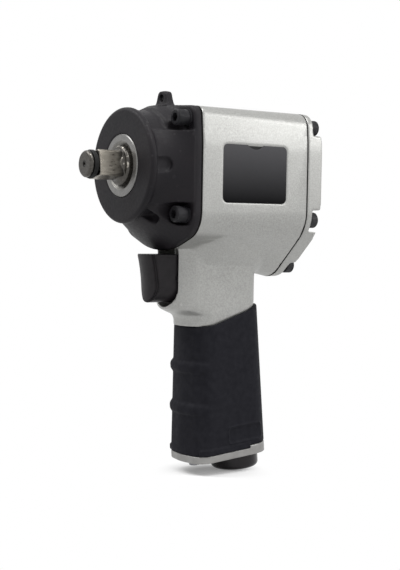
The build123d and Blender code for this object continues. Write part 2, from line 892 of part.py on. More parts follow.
# Hammer cage: two discs joined by a web behind each hammer pin
pin_spots = ((0, hammer_pin_circle), (0, -hammer_pin_circle))
with BuildPart() as hammer_cage:
    extrude(circles_at(cage_disc_back, [(0, 0)], cage_radius), amount=cage_disc)
    extrude(circles_at(cage_back, [(0, 0)], cage_radius), amount=cage_back_disc)
    with BuildSketch(Plane.YZ.offset(cage_back_front)):
        Circle(cage_radius)
        Circle(cage_web_inner, mode=Mode.SUBTRACT)
        Rectangle(2 * cage_radius * sin(radians(cage_web_angle / 2)), 2 * cage_radius, mode=Mode.INTERSECT)
    extrude(amount=cage_disc_back - cage_back_front)
    extrude(circles_at(cage_disc_back, [(0, 0)], anvil_jaw_radius + free_gap), amount=cage_disc,
            mode=Mode.SUBTRACT)
    extrude(circles_at(cage_back_front, [(0, 0)], anvil_pilot_radius + running_fit),
            amount=-anvil_pilot_length - loose_gap, mode=Mode.SUBTRACT)
    extrude(circles_at(cage_back, pin_spots, hammer_pin_radius + press_gap), amount=cage_front - cage_back,
            mode=Mode.SUBTRACT)
    with BuildSketch(Plane.YZ.offset(cage_back)):
        Circle(spline_root + running_fit)
        with PolarLocations(spline_tip / 2, spline_teeth):
            Rectangle(spline_tip + 2 * running_fit, spline_tooth + 2 * running_fit)
    extrude(amount=cage_back_disc, mode=Mode.SUBTRACT)
hammer_cage.part.label = "hammer_cage"
export_step(hammer_cage.part, "parts/hammer_cage.step")

# Jumbo hammer: a ring that rocks on the upper pin, with two lugs in its bore
with BuildPart() as jumbo_hammer:
    with BuildSketch(Plane.YZ.offset(hammer_back)):
        Circle(hammer_radius)
        Circle(hammer_bore, mode=Mode.SUBTRACT)
        with Locations((hammer_lug_reach + hammer_bore / 4, 0), (-hammer_lug_reach - hammer_bore / 4, 0)):
            Rectangle(hammer_bore / 2, hammer_lug_width)
        Circle(hammer_radius, mode=Mode.INTERSECT)
        with Locations(pin_spots[0]):
            Circle(hammer_pin_radius + running_fit, mode=Mode.SUBTRACT)
        with Locations(pin_spots[1]):
            Rectangle(
                2 * (hammer_pin_radius + hammer_swing + loose_gap),
                2 * (hammer_pin_radius + loose_gap),
                mode=Mode.SUBTRACT,
            )
    extrude(amount=hammer_length)
jumbo_hammer.part.label = "jumbo_hammer"
export_step(jumbo_hammer.part, "parts/jumbo_hammer.step")

with BuildPart() as hammer_pins:
    extrude(circles_at(cage_back + edge_break, pin_spots, hammer_pin_radius),
            amount=cage_front - cage_back - 2 * edge_break)
    chamfer(hammer_pins.edges().filter_by(GeomType.CIRCLE), edge_break)
hammer_pins.part.label = "hammer_pins"
export_step(hammer_pins.part, "parts/hammer_pins.step")

# Rotor with its vane slots, journals and front spline
shaft_front = cage_back_front - anvil_pilot_length - 2 * loose_gap
front_bearing_x = motor_front
rear_bearing_x = body_back + bearing_width
with BuildPart() as rotor:
    extrude(circles_at(rotor_back, [(0, 0)], rotor_radius), amount=rotor_front - rotor_back)
    with BuildSketch(Plane.YZ.offset(rotor_back)):
        with PolarLocations((vane_slot_floor + rotor_radius) / 2 + edge_break, vane_count):
            Rectangle(rotor_radius - vane_slot_floor + 2 * edge_break, vane_thick + 2 * running_fit)
    extrude(amount=rotor_front - rotor_back, mode=Mode.SUBTRACT)
    extrude(circles_at(body_back + edge_break, [(0, 0)], bearing_bore - press_gap),
            amount=front_bearing_x - body_back - edge_break)
    with BuildSketch(Plane.YZ.offset(front_bearing_x)):
        Circle(spline_root)
        with PolarLocations(spline_tip / 2, spline_teeth):
            Rectangle(spline_tip, spline_tooth)
    extrude(amount=shaft_front - front_bearing_x)
rotor.part.label = "rotor"
export_step(rotor.part, "parts/rotor.step")

# Vanes, drawn in flush with the rotor
with BuildPart() as rotor_vanes:
    vane_inner = vane_slot_floor + running_fit
    vane_outer = rotor_radius - running_fit
    with BuildSketch(Plane.YZ.offset(rotor_back + running_fit)):
        with PolarLocations((vane_inner + vane_outer) / 2, vane_count):
            Rectangle(vane_outer - vane_inner, vane_thick)
    extrude(amount=rotor_front - rotor_back - 2 * running_fit)
rotor_vanes.part.label = "rotor_vanes"
export_step(rotor_vanes.part, "parts/rotor_vanes.step")

# Cylinder liner with its bore set above the rotor axis, and air ports below
dowel_spot = (0, -dowel_circle)
with BuildPart() as cylinder_liner:
    extrude(circles_at(liner_back, [(0, 0)], motor_radius), amount=liner_front - liner_back)
    extrude(circles_at(liner_back, [(0, liner_offset)], liner_bore), amount=liner_front - liner_back,
            mode=Mode.SUBTRACT)
    extrude(circles_at(liner_back, [dowel_spot], dowel_radius + press_gap), amount=liner_front - liner_back,
            mode=Mode.SUBTRACT)
    with BuildSketch(Plane.XY):
        with Locations(((liner_front + liner_back) / 2, 0)):
            with GridLocations((liner_front - liner_back) / 4, 2 * liner_port_side, 3, 2):
                Circle(liner_port_radius)
        with Locations((supply_x, supply_side), (supply_x, -supply_side)):
            Circle(supply_radius)
    extrude(amount=-motor_bore, mode=Mode.SUBTRACT)
cylinder_liner.part.label = "cylinder_liner"
export_step(cylinder_liner.part, "parts/cylinder_liner.step")

with BuildPart() as cylinder_dowel_pin:
    extrude(circles_at(liner_back - motor_plate_rear / 2, [dowel_spot], dowel_radius),
            amount=liner_front - liner_back + motor_plate_rear / 2 + motor_plate_front / 2)
cylinder_dowel_pin.part.label = "cylinder_dowel_pin"
export_step(cylinder_dowel_pin.part, "parts/cylinder_dowel_pin.step")

# End plates of the motor, each with a bearing pocket on its outer face
with BuildPart() as front_end_plate:
    extrude(circles_at(liner_front, [(0, 0)], motor_radius), amount=motor_plate_front)
    extrude(circles_at(motor_front, [(0, 0)], bearing_outer + press_gap), amount=-bearing_width - press_gap,
            mode=Mode.SUBTRACT)
    extrude(circles_at(motor_front, [(0, 0)], inner_race_lip + loose_gap), amount=-motor_plate_front,
            mode=Mode.SUBTRACT)
    extrude(circles_at(liner_front, [dowel_spot], dowel_radius + press_gap), amount=motor_plate_front / 2,
            mode=Mode.SUBTRACT)
front_end_plate.part.label = "front_end_plate"
export_step(front_end_plate.part, "parts/front_end_plate.step")

with BuildPart() as rear_end_plate:
    extrude(circles_at(body_back, [(0, 0)], motor_radius), amount=motor_plate_rear)
    extrude(circles_at(body_back, [(0, 0)], bearing_outer + press_gap), amount=bearing_width + press_gap,
            mode=Mode.SUBTRACT)
    extrude(circles_at(body_back, [(0, 0)], inner_race_lip + loose_gap), amount=motor_plate_rear,
            mode=Mode.SUBTRACT)
    extrude(circles_at(liner_back, [dowel_spot], dowel_radius + press_gap), amount=-motor_plate_rear / 2,
            mode=Mode.SUBTRACT)
rear_end_plate.part.label = "rear_end_plate"
export_step(rear_end_plate.part, "parts/rear_end_plate.step")


# Ball bearings, one at each end of the rotor
def bearing_ring(face, inner, outer):
    """Half profile of a bearing ring, from its front face back."""
    return turned((face, inner), (face, outer), (face - bearing_width, outer), (face - bearing_width, inner))


def ball_groove(face):
    """Section of the groove that the balls roll in."""
    with BuildSketch(Plane.XZ) as groove:
        with Locations((face - bearing_width / 2, ball_circle)):
            Circle(ball_radius + running_fit)
    return groove.sketch


def ball_cage_ring(face):
    """Plain ring of a ball cage, at its front edge."""
    with BuildSketch(Plane.YZ.offset(face - (bearing_width - ball_cage_width) / 2)) as ring:
        Circle(ball_cage_outer)
        Circle(ball_cage_inner, mode=Mode.SUBTRACT)
    return ring.sketch


ball_pocket = ball_radius + 2 * running_fit

# Front bearing
with BuildPart() as front_bearing_outer:
    revolve(bearing_ring(front_bearing_x, outer_race_lip, bearing_outer), axis=Axis.X)
    revolve(ball_groove(front_bearing_x), axis=Axis.X, mode=Mode.SUBTRACT)
front_bearing_outer.part.label = "front_bearing_outer"
export_step(front_bearing_outer.part, "parts/front_bearing_outer.step")

with BuildPart() as front_bearing_inner:
    revolve(bearing_ring(front_bearing_x, bearing_bore, inner_race_lip), axis=Axis.X)
    revolve(ball_groove(front_bearing_x), axis=Axis.X, mode=Mode.SUBTRACT)
front_bearing_inner.part.label = "front_bearing_inner"
export_step(front_bearing_inner.part, "parts/front_bearing_inner.step")

with BuildPart() as front_bearing_balls:
    with Locations(Plane.YZ.offset(front_bearing_x - bearing_width / 2)):
        with PolarLocations(ball_circle, ball_count):
            Sphere(ball_radius)
front_bearing_balls.part.label = "front_bearing_balls"
export_step(front_bearing_balls.part, "parts/front_bearing_balls.step")

with BuildPart() as front_ball_cage:
    extrude(ball_cage_ring(front_bearing_x), amount=-ball_cage_width)
    with Locations(Plane.YZ.offset(front_bearing_x - bearing_width / 2)):
        with PolarLocations(ball_circle, ball_count):
            Cylinder(ball_pocket, ball_radius, rotation=(0, 90, 0), mode=Mode.SUBTRACT)
front_ball_cage.part.label = "front_ball_cage"
export_step(front_ball_cage.part, "parts/front_ball_cage.step")

# Rear bearing
with BuildPart() as rear_bearing_outer:
    revolve(bearing_ring(rear_bearing_x, outer_race_lip, bearing_outer), axis=Axis.X)
    revolve(ball_groove(rear_bearing_x), axis=Axis.X, mode=Mode.SUBTRACT)
rear_bearing_outer.part.label = "rear_bearing_outer"
export_step(rear_bearing_outer.part, "parts/rear_bearing_outer.step")

with BuildPart() as rear_bearing_inner:
    revolve(bearing_ring(rear_bearing_x, bearing_bore, inner_race_lip), axis=Axis.X)
    revolve(ball_groove(rear_bearing_x), axis=Axis.X, mode=Mode.SUBTRACT)
rear_bearing_inner.part.label = "rear_bearing_inner"
export_step(rear_bearing_inner.part, "parts/rear_bearing_inner.step")

with BuildPart() as rear_bearing_balls:
    with Locations(Plane.YZ.offset(rear_bearing_x - bearing_width / 2)):
        with PolarLocations(ball_circle, ball_count):
            Sphere(ball_radius)
rear_bearing_balls.part.label = "rear_bearing_balls"
export_step(rear_bearing_balls.part, "parts/rear_bearing_balls.step")

with BuildPart() as rear_ball_cage:
    extrude(ball_cage_ring(rear_bearing_x), amount=-ball_cage_width)
    with Locations(Plane.YZ.offset(rear_bearing_x - bearing_width / 2)):
        with PolarLocations(ball_circle, ball_count):
            Cylinder(ball_pocket, ball_radius, rotation=(0, 90, 0), mode=Mode.SUBTRACT)
rear_ball_cage.part.label = "rear_ball_cage"
export_step(rear_ball_cage.part, "parts/rear_ball_cage.step")

# Body of the housing, from the flange to the rear joint
with BuildPart() as body_shell:
    loft([front_outline(body_front), rear_outline(body_back)], ruled=True)
    fillet(body_shell.faces().sort_by(Axis.X)[0].edges(), body_edge_radius)


def neck_plan(height, front, front_radius):
    """Plan of the neck at one height, rounded in front and behind."""
    with BuildSketch(Plane.XY.offset(height)) as plan:
        with Locations(((front + neck_back) / 2, 0)):
            Rectangle(front - neck_back, 2 * neck_half_width)
        fillet(plan.vertices().sort_by(Axis.X)[:2], neck_back_radius)
        fillet(plan.vertices().sort_by(Axis.X)[-2:], front_radius)
    return plan.sketch


# Chin below the trigger, drawn back to the waist of the neck
with BuildPart() as neck_waist:
    chin_plans = [
        neck_plan(height, neck_front - step, neck_front_radius)
        for height, step in zip(chin_heights, chin_steps)
    ]
    waist_plan = neck_plan(waist_top, neck_waist_front, neck_waist_radius)
    loft(chin_plans + [waist_plan], ruled=True)
    extrude(waist_plan, amount=-neck_tail)
    extrude(sleeve_edge(0, grip_length), amount=grip_length, both=True, mode=Mode.SUBTRACT)

# Core of the handle, under the rubber sleeve and up into the neck
with BuildPart() as handle_core:
    loft(grip_sections(sleeve_wall), ruled=True)


def label_outline(side, inset):
    """Outline of a label plate, on the floor of its recess."""
    with BuildSketch(Plane.XZ.offset(-side * label_floor)) as sketch:
        with Locations((label_x, label_z)):
            RectangleRounded(label_length - 2 * inset, label_height - 2 * inset, label_corner_radius)
    return sketch.sketch


# Slot for the trigger, rounded below and open to the front
with BuildPart() as trigger_slot:
    with BuildSketch(Plane.YZ.offset(slot_back)):
        with Locations((0, slot_round_height)):
            Circle(slot_half_width)
        with Locations((0, (slot_round_height + slot_top) / 2)):
            Rectangle(2 * slot_half_width, slot_top - slot_round_height)
    extrude(amount=neck_front - slot_back + 1)
    with BuildSketch(Plane.YZ.offset(body_front)):
        with Locations((0, slot_round_height / 2)):
            Rectangle(2 * neck_half_width, -slot_round_height)
    extrude(amount=neck_front - body_front + 1)

# Motor housing
with BuildPart() as motor_housing:
    add(body_shell.part)
    extrude(chin_plans[0], amount=neck_top - chin_heights[0])
    fillet(motor_housing.edges(Select.NEW).filter_by_position(Axis.Z, chin_heights[0] / 1.2, 0), neck_fillet)
    add(neck_waist.part)
    add(handle_core.part)
    add(trigger_slot.part, mode=Mode.SUBTRACT)
    extrude(circles_at(body_front, [(0, 0)], clutch_bore), amount=-clutch_depth, mode=Mode.SUBTRACT)
    extrude(circles_at(motor_front, [(0, 0)], motor_bore), amount=body_back - motor_front, mode=Mode.SUBTRACT)
    extrude(circles_at(body_front, front_bolt_spots, bolt_hole), amount=-front_bolt_reach, mode=Mode.SUBTRACT)
    extrude(circles_at(body_back, side_bolt_spots, bolt_hole), amount=rear_bolt_reach, mode=Mode.SUBTRACT)
    extrude(circles_at(body_back, low_bolt_spots, low_bolt_hole), amount=low_bolt_reach, mode=Mode.SUBTRACT)
    extrude(
        circles_at(body_back, [reverse_spot], reverse_spool_radius + running_fit),
        amount=reverse_bore_front - body_back,
        mode=Mode.SUBTRACT,
    )
    extrude(circles_at(body_back, [detent_spot], detent_hole), amount=detent_hole_depth, mode=Mode.SUBTRACT)
    extrude(
        circles_at(slot_back, [(0, throttle_height)], throttle_bore),
        amount=throttle_bore_end - slot_back,
        mode=Mode.SUBTRACT,
    )
    with BuildSketch(Plane.XY.offset(throttle_height)):
        with Locations((passage_x, 0)):
            Circle(passage_radius)
    extrude(amount=reverse_height - throttle_height, mode=Mode.SUBTRACT)
    with BuildSketch(Plane.XY.offset(reverse_height)):
        with Locations((supply_x, supply_side), (supply_x, -supply_side)):
            Circle(supply_radius)
    extrude(amount=-reverse_height, mode=Mode.SUBTRACT)
    with BuildSketch(Plane.XY.offset(exhaust_side_bottom)):
        with Locations((exhaust_side_x, exhaust_side), (exhaust_side_x, -exhaust_side)):
            Rectangle(exhaust_side_length, exhaust_side_width)
    extrude(amount=exhaust_side_top - exhaust_side_bottom, mode=Mode.SUBTRACT)
    with BuildSketch(grip_plane):
        with Locations(((exhaust_back + exhaust_front) / 2, 0)):
            RectangleRounded(exhaust_front - exhaust_back, 2 * exhaust_half_width, exhaust_corner_radius)
    extrude(amount=exhaust_top, mode=Mode.SUBTRACT)
    with BuildSketch(grip_plane):
        Circle(inlet_spigot_radius + press_gap)
    extrude(amount=inlet_spigot_length + loose_gap, mode=Mode.SUBTRACT)
    with BuildSketch(grip_plane):
        Circle(inlet_bore)
    extrude(amount=(throttle_height - grip_z) / cos(rake), mode=Mode.SUBTRACT)
    with BuildSketch(grip_plane):
        with Locations((end_screw_spot, 0)):
            Circle(end_screw_radius + press_gap)
    extrude(amount=end_screw_length, mode=Mode.SUBTRACT)
    for side in (1, -1):
        extrude(label_outline(side, 0), amount=-side * 2 * label_recess, mode=Mode.SUBTRACT)
motor_housing.part.label = "motor_housing"
export_step(motor_housing.part, "parts/motor_housing.step")

# Plain label plates in the side recesses
with BuildPart() as left_label_plate:
    extrude(label_outline(1, running_fit), amount=-label_thick)
left_label_plate.part.label = "left_label_plate"
export_step(left_label_plate.part, "parts/left_label_plate.step")

with BuildPart() as right_label_plate:
    extrude(label_outline(-1, running_fit), amount=label_thick)
right_label_plate.part.label = "right_label_plate"
export_step(right_label_plate.part, "parts/right_label_plate.step")

# Rear cap, with pockets for the bolt heads and for the reversing knob
with BuildPart() as rear_cap:
    extrude(rear_outline(cap_front), amount=-cap_thick)
    mid_pocket_height = (mid_pocket_top + mid_pocket_bottom) / 2
    with BuildSketch(Plane.YZ.offset(cap_seat)):
        for side in (1, -1):
            with Locations((side * (upper_pocket_side + crown_height), upper_pocket_floor + crown_height)):
                RectangleRounded(2 * crown_height, 2 * crown_height, pocket_corner_radius)
            with Locations((side * (mid_pocket_side + crown_height), mid_pocket_height)):
                RectangleRounded(2 * crown_height, mid_pocket_top - mid_pocket_bottom, pocket_corner_radius)
    extrude(amount=-cap_thick, mode=Mode.SUBTRACT)
    low_pocket_top = low_bolt_spots[0][1] + low_pocket_rise
    with BuildSketch(Plane.YZ.offset(low_seat)):
        with Locations(*low_bolt_spots):
            Circle(low_pocket_radius)
        with Locations((0, low_pocket_top - crown_height / 2)):
            Rectangle(2 * body_half_width, crown_height)
    extrude(amount=-cap_thick, mode=Mode.SUBTRACT)
    fillet(rear_cap.faces().sort_by(Axis.X)[0].edges(), cap_edge_radius)
    extrude(circles_at(knob_seat, [reverse_spot], knob_radius + knob_pocket_gap), amount=-cap_thick,
            mode=Mode.SUBTRACT)
    extrude(circles_at(cap_front, [reverse_spot], reverse_stem_radius + running_fit), amount=-knob_floor,
            mode=Mode.SUBTRACT)
    extrude(circles_at(cap_front, [detent_spot], detent_hole), amount=-knob_floor, mode=Mode.SUBTRACT)
    extrude(circles_at(cap_front, side_bolt_spots, bolt_hole), amount=-low_flange, mode=Mode.SUBTRACT)
    extrude(circles_at(cap_front, low_bolt_spots, low_bolt_hole), amount=-low_flange, mode=Mode.SUBTRACT)
rear_cap.part.label = "rear_cap"
export_step(rear_cap.part, "parts/rear_cap.step")

# Reversing valve: a ported spool with a stem out through the cap
spool_front = reverse_bore_front - loose_gap
spool_back = body_back + loose_gap
stem_tip = knob_front - knob_thick / 2
with BuildPart() as reverse_valve:
    extrude(circles_at(spool_back, [reverse_spot], reverse_spool_radius), amount=spool_front - spool_back)
    extrude(circles_at(spool_back, [reverse_spot], reverse_stem_radius), amount=stem_tip - spool_back)
    with BuildSketch(Plane.XY.offset(reverse_height - reverse_spool_radius)):
        with Locations((passage_x, 0)):
            Rectangle(2 * passage_radius, 2 * reverse_spool_radius)
    extrude(amount=reverse_port_depth, mode=Mode.SUBTRACT)
    with BuildSketch(Plane.XY.offset(reverse_height + reverse_spool_radius)):
        with Locations((supply_x, 0)):
            Rectangle(2 * passage_radius, 2 * reverse_spool_radius)
    extrude(amount=-reverse_port_depth, mode=Mode.SUBTRACT)
    with BuildSketch(Plane.YZ.offset(supply_x - passage_radius)):
        with Locations(reverse_spot):
            Circle(reverse_port_depth / 2)
    extrude(amount=passage_x + passage_radius - supply_x + passage_radius, mode=Mode.SUBTRACT)
    screw_hole = knob_screw_shank + press_gap
    extrude(circles_at(stem_tip, [reverse_spot], screw_hole), amount=knob_screw_length, mode=Mode.SUBTRACT)
reverse_valve.part.label = "reverse_valve"
export_step(reverse_valve.part, "parts/reverse_valve.step")

# Reversing knob with a finger bar
with BuildPart() as reverse_knob:
    extrude(circles_at(knob_front, [reverse_spot], knob_radius), amount=-knob_thick)
    fillet(reverse_knob.edges().sort_by(Axis.X)[0], knob_edge_radius)
    with BuildSketch(Plane.YZ.offset(knob_back)):
        with Locations(reverse_spot):
            SlotOverall(2 * (knob_radius - 2 * knob_edge_radius), knob_grip_width, rotation=90)
    extrude(amount=-knob_grip_height)
    fillet(reverse_knob.faces().sort_by(Axis.X)[0].edges(), knob_edge_radius)
    extrude(circles_at(knob_top, [reverse_spot], knob_screw_radius + running_fit),
            amount=knob_screw_head + edge_break, mode=Mode.SUBTRACT)
    extrude(circles_at(knob_top, [reverse_spot], screw_hole), amount=knob_front - knob_top,
            mode=Mode.SUBTRACT)
    extrude(circles_at(knob_front, [reverse_spot], reverse_stem_radius + press_gap),
            amount=stem_tip - knob_front, mode=Mode.SUBTRACT)
    with BuildSketch(Plane.YZ.offset(knob_front)):
        with Locations(reverse_spot):
            Circle(detent_circle + detent_groove_width / 2)
            Circle(detent_circle - detent_groove_width / 2, mode=Mode.SUBTRACT)
    extrude(amount=-detent_groove_depth, mode=Mode.SUBTRACT)
reverse_knob.part.label = "reverse_knob"
export_step(reverse_knob.part, "parts/reverse_knob.step")

with BuildPart() as knob_screw:
    screw_seat = knob_top + knob_screw_head + edge_break
    extrude(circles_at(screw_seat, [reverse_spot], knob_screw_radius), amount=-knob_screw_head)
    chamfer(knob_screw.edges().sort_by(Axis.X)[0], edge_break)
    extrude(circles_at(screw_seat, [reverse_spot], knob_screw_shank), amount=knob_screw_length - edge_break)
    with BuildSketch(Plane.YZ.offset(screw_seat - knob_screw_head)):
        with Locations(reverse_spot):
            Rectangle(2 * edge_break, 2 * knob_screw_radius)
    extrude(amount=2 * edge_break, mode=Mode.SUBTRACT)
knob_screw.part.label = "knob_screw"
export_step(knob_screw.part, "parts/knob_screw.step")

# Detent ball and spring under the knob
ball_x = knob_seat + detent_ball_radius - detent_ball_proud
with BuildPart() as detent_ball:
    with Locations((ball_x, *detent_spot)):
        Sphere(detent_ball_radius)
detent_ball.part.label = "detent_ball"
export_step(detent_ball.part, "parts/detent_ball.step")

detent_path = coil_path(
    ball_x + detent_ball_radius,
    body_back + detent_hole_depth - 2 * detent_wire,
    detent_spot[1],
    detent_coil_radius,
    detent_turns,
)
with BuildPart() as detent_spring:
    with BuildSketch(Plane(origin=detent_path @ 0, z_dir=detent_path % 0)):
        Circle(detent_wire)
    sweep(path=detent_path)
detent_spring.part.label = "detent_spring"
export_step(detent_spring.part, "parts/detent_spring.step")

# Trigger: a saddle-faced pad that slides in the slot
with BuildPart() as trigger:
    with BuildSketch(Plane.YZ.offset(trigger_back)):
        with Locations((0, trigger_round_height)):
            Circle(trigger_half_width)
        with Locations((0, (trigger_round_height + trigger_top) / 2)):
            Rectangle(2 * trigger_half_width, trigger_top - trigger_round_height)
    extrude(amount=trigger_lip - trigger_back)
    with BuildSketch(Plane.XZ):
        with BuildLine():
            Polyline(
                (trigger_toe, trigger_bottom),
                (trigger_axis, trigger_bottom),
                (trigger_axis, trigger_top),
                (trigger_lip, trigger_top),
            )
            ThreePointArc(
                (trigger_lip, trigger_top),
                (trigger_waist, trigger_waist_height),
                (trigger_toe, trigger_bottom),
            )
        make_face()
    revolve(axis=Axis((trigger_axis, 0, 0), (0, 0, 1)), mode=Mode.INTERSECT)
    fillet(trigger.faces().sort_by(Axis.X)[-1].edges(), trigger_edge_radius)
    extrude(circles_at(trigger_back, [(0, throttle_height)], stem_radius + press_gap),
            amount=stem_front - trigger_back, mode=Mode.SUBTRACT)
    with BuildSketch(Plane.XZ):
        with Locations((pin_x, throttle_height)):
            Circle(trigger_pin_radius + press_gap)
    extrude(amount=trigger_half_width, both=True, mode=Mode.SUBTRACT)
trigger.part.label = "trigger"
export_step(trigger.part, "parts/trigger.step")

with BuildPart() as trigger_stem:
    extrude(circles_at(stem_back, [(0, throttle_height)], stem_radius), amount=stem_length)
    chamfer(trigger_stem.edges().sort_by(Axis.X)[-1], edge_break)
    with BuildSketch(Plane.XZ):
        with Locations((pin_x, throttle_height)):
            Circle(trigger_pin_radius + press_gap)
    extrude(amount=trigger_half_width, both=True, mode=Mode.SUBTRACT)
trigger_stem.part.label = "trigger_stem"
export_step(trigger_stem.part, "parts/trigger_stem.step")

with BuildPart() as trigger_pin:
    with BuildSketch(Plane.XZ):
        with Locations((pin_x, throttle_height)):
            Circle(trigger_pin_radius)
    extrude(amount=trigger_half_width - edge_break, both=True)
trigger_pin.part.label = "trigger_pin"
export_step(trigger_pin.part, "parts/trigger_pin.step")

# Stem bushing, whose rear face is the throttle seat
room_front = slot_back - stem_bushing_guide
stem_seal_x = slot_back - stem_bushing_guide / 2
with BuildPart() as stem_bushing:
    stem_spot = [(0, throttle_height)]
    extrude(circles_at(slot_back, stem_spot, throttle_bore - press_gap), amount=-stem_bushing_length)
    extrude(circles_at(slot_back, stem_spot, stem_radius + running_fit), amount=-stem_bushing_guide,
            mode=Mode.SUBTRACT)
    extrude(circles_at(room_front, stem_spot, stem_bushing_room), amount=stem_bushing_back - room_front,
            mode=Mode.SUBTRACT)
    extrude(circles_at(stem_seal_x - stem_seal_wire, stem_spot, stem_radius + 2 * stem_seal_wire),
            amount=2 * stem_seal_wire, mode=Mode.SUBTRACT)
    with BuildSketch(Plane.XY.offset(throttle_height)):
        with Locations((passage_x, 0)):
            Circle(passage_radius - edge_break)
    extrude(amount=throttle_bore, mode=Mode.SUBTRACT)
stem_bushing.part.label = "stem_bushing"
export_step(stem_bushing.part, "parts/stem_bushing.step")

with BuildPart() as stem_seal:
    with BuildSketch(Plane.XZ):
        with Locations((stem_seal_x, throttle_height + stem_radius + stem_seal_wire + loose_gap / 2)):
            Circle(stem_seal_wire - loose_gap / 2)
    revolve(axis=Axis((0, 0, throttle_height), (1, 0, 0)))
stem_seal.part.label = "stem_seal"
export_step(stem_seal.part, "parts/stem_seal.step")

# Throttle valve with its rubber face, and the spring that shuts it
seal_back = valve_face - throttle_seal_thick
with BuildPart() as throttle_valve:
    extrude(circles_at(valve_back, stem_spot, valve_head_radius), amount=seal_back - valve_back)
    chamfer(throttle_valve.edges().sort_by(Axis.X)[0], edge_break)
    extrude(circles_at(seal_back, stem_spot, valve_stem_radius), amount=stem_back - seal_back)
throttle_valve.part.label = "throttle_valve"
export_step(throttle_valve.part, "parts/throttle_valve.step")

with BuildPart() as throttle_seal:
    extrude(circles_at(seal_back, stem_spot, valve_head_radius), amount=throttle_seal_thick)
    extrude(circles_at(seal_back, stem_spot, valve_stem_radius + press_gap), amount=throttle_seal_thick,
            mode=Mode.SUBTRACT)
throttle_seal.part.label = "throttle_seal"
export_step(throttle_seal.part, "parts/throttle_seal.step")

throttle_path = coil_path(
    throttle_bore_end + throttle_wire + running_fit,
    valve_back - throttle_wire - running_fit,
    throttle_height,
    throttle_coil_radius,
    throttle_turns,
)
with BuildPart() as throttle_spring:
    with BuildSketch(Plane(origin=throttle_path @ 0, z_dir=throttle_path % 0)):
        Circle(throttle_wire)
    sweep(path=throttle_path)
throttle_spring.part.label = "throttle_spring"
export_step(throttle_spring.part, "parts/throttle_spring.step")


# Rubber sleeve over the handle, with two finger ridges
def finger_ridge(height):
    """Rounded band round the front of the sleeve at one height up the grip."""
    share = height / grip_length
    front = grip_low_front + (grip_high_front - grip_low_front) * share + ridge_proud
    half_width = grip_low_half_width + (grip_high_half_width - grip_low_half_width) * share
    wide = half_width + ridge_side_proud
    narrow = half_width - ridge_side_proud
    back = front - ridge_fade
    shoulder = front - grip_front_bow
    with BuildPart() as ridge:
        with BuildSketch(grip_plane.offset(height - ridge_width / 2)) as outline:
            with BuildLine():
                Polyline(
                    (front, 0),
                    (shoulder, wide),
                    (back, narrow),
                    (back, -narrow),
                    (shoulder, -wide),
                    close=True,
                )
            make_face()
            round_corner(outline, Axis.X, front, grip_bow_radius)
            round_corner(outline, Axis.X, shoulder, ridge_corner)
        extrude(amount=ridge_width)
        fillet(ridge.faces().filter_by(grip_plane).edges(), ridge_round)
    return ridge.part


def rim_zone(gap):
    """Foot of the handle behind the sleeve's side tabs, grown by a gap."""
    with BuildPart() as zone:
        with BuildSketch(grip_plane):
            with Locations((plate_rim_front + gap - grip_length / 2, 0)):
                Rectangle(grip_length, grip_length)
        extrude(amount=plate_rim + gap)
    return zone.part


ridges = [finger_ridge(height) for height in ridge_heights]
side_plane = Plane(origin=grip_plane.origin, x_dir=grip_plane.x_dir, z_dir=(0, -1, 0))
with BuildPart() as grip_sleeve:
    loft(grip_sections(0), ruled=True)
    add(ridges)
    extrude(sleeve_edge(sleeve_gap, grip_length), amount=grip_length, both=True, mode=Mode.INTERSECT)
    loft(grip_sections(sleeve_wall - running_fit), ruled=True, mode=Mode.SUBTRACT)
    add(rim_zone(sleeve_gap), mode=Mode.SUBTRACT)
    for side in (1, -1):
        panel_floor = grip_low_half_width - panel_depth
        with BuildSketch(side_plane.offset(-side * panel_floor)):
            with Locations(panel_spot):
                RectangleRounded(*panel_size, panel_corner)
        extrude(amount=-side * 2 * panel_depth, mode=Mode.SUBTRACT)
grip_sleeve.part.label = "grip_sleeve"
export_step(grip_sleeve.part, "parts/grip_sleeve.step")

# End plate of the handle, with a rim behind the sleeve's tabs and vents for the exhaust
with BuildPart() as handle_rim:
    loft(grip_sections(0), ruled=True)
    loft(grip_sections(sleeve_wall - running_fit), ruled=True, mode=Mode.SUBTRACT)
    add(rim_zone(0), mode=Mode.INTERSECT)

with BuildPart() as handle_end_plate:
    plate_outline = grip_outline(
        grip_plane, grip_low_front, grip_low_back, grip_low_half_width, grip_low_corner
    )
    extrude(plate_outline, amount=-end_plate_thick)
    fillet(handle_end_plate.faces().filter_by(grip_plane).sort_by(Axis.Z)[0].edges(), end_plate_edge)
    add(handle_rim.part)
    with BuildSketch(grip_plane):
        Circle(inlet_spigot_radius + press_gap)
        with Locations((end_screw_spot, 0)):
            Circle(end_screw_radius + press_gap)
        with Locations(((exhaust_back + exhaust_front) / 2, 0)):
            with GridLocations(vent_pitch, vent_pitch, vent_rows, vents_across):
                Circle(vent_radius)
    extrude(amount=-end_plate_thick, mode=Mode.SUBTRACT)
handle_end_plate.part.label = "handle_end_plate"
export_step(handle_end_plate.part, "parts/handle_end_plate.step")

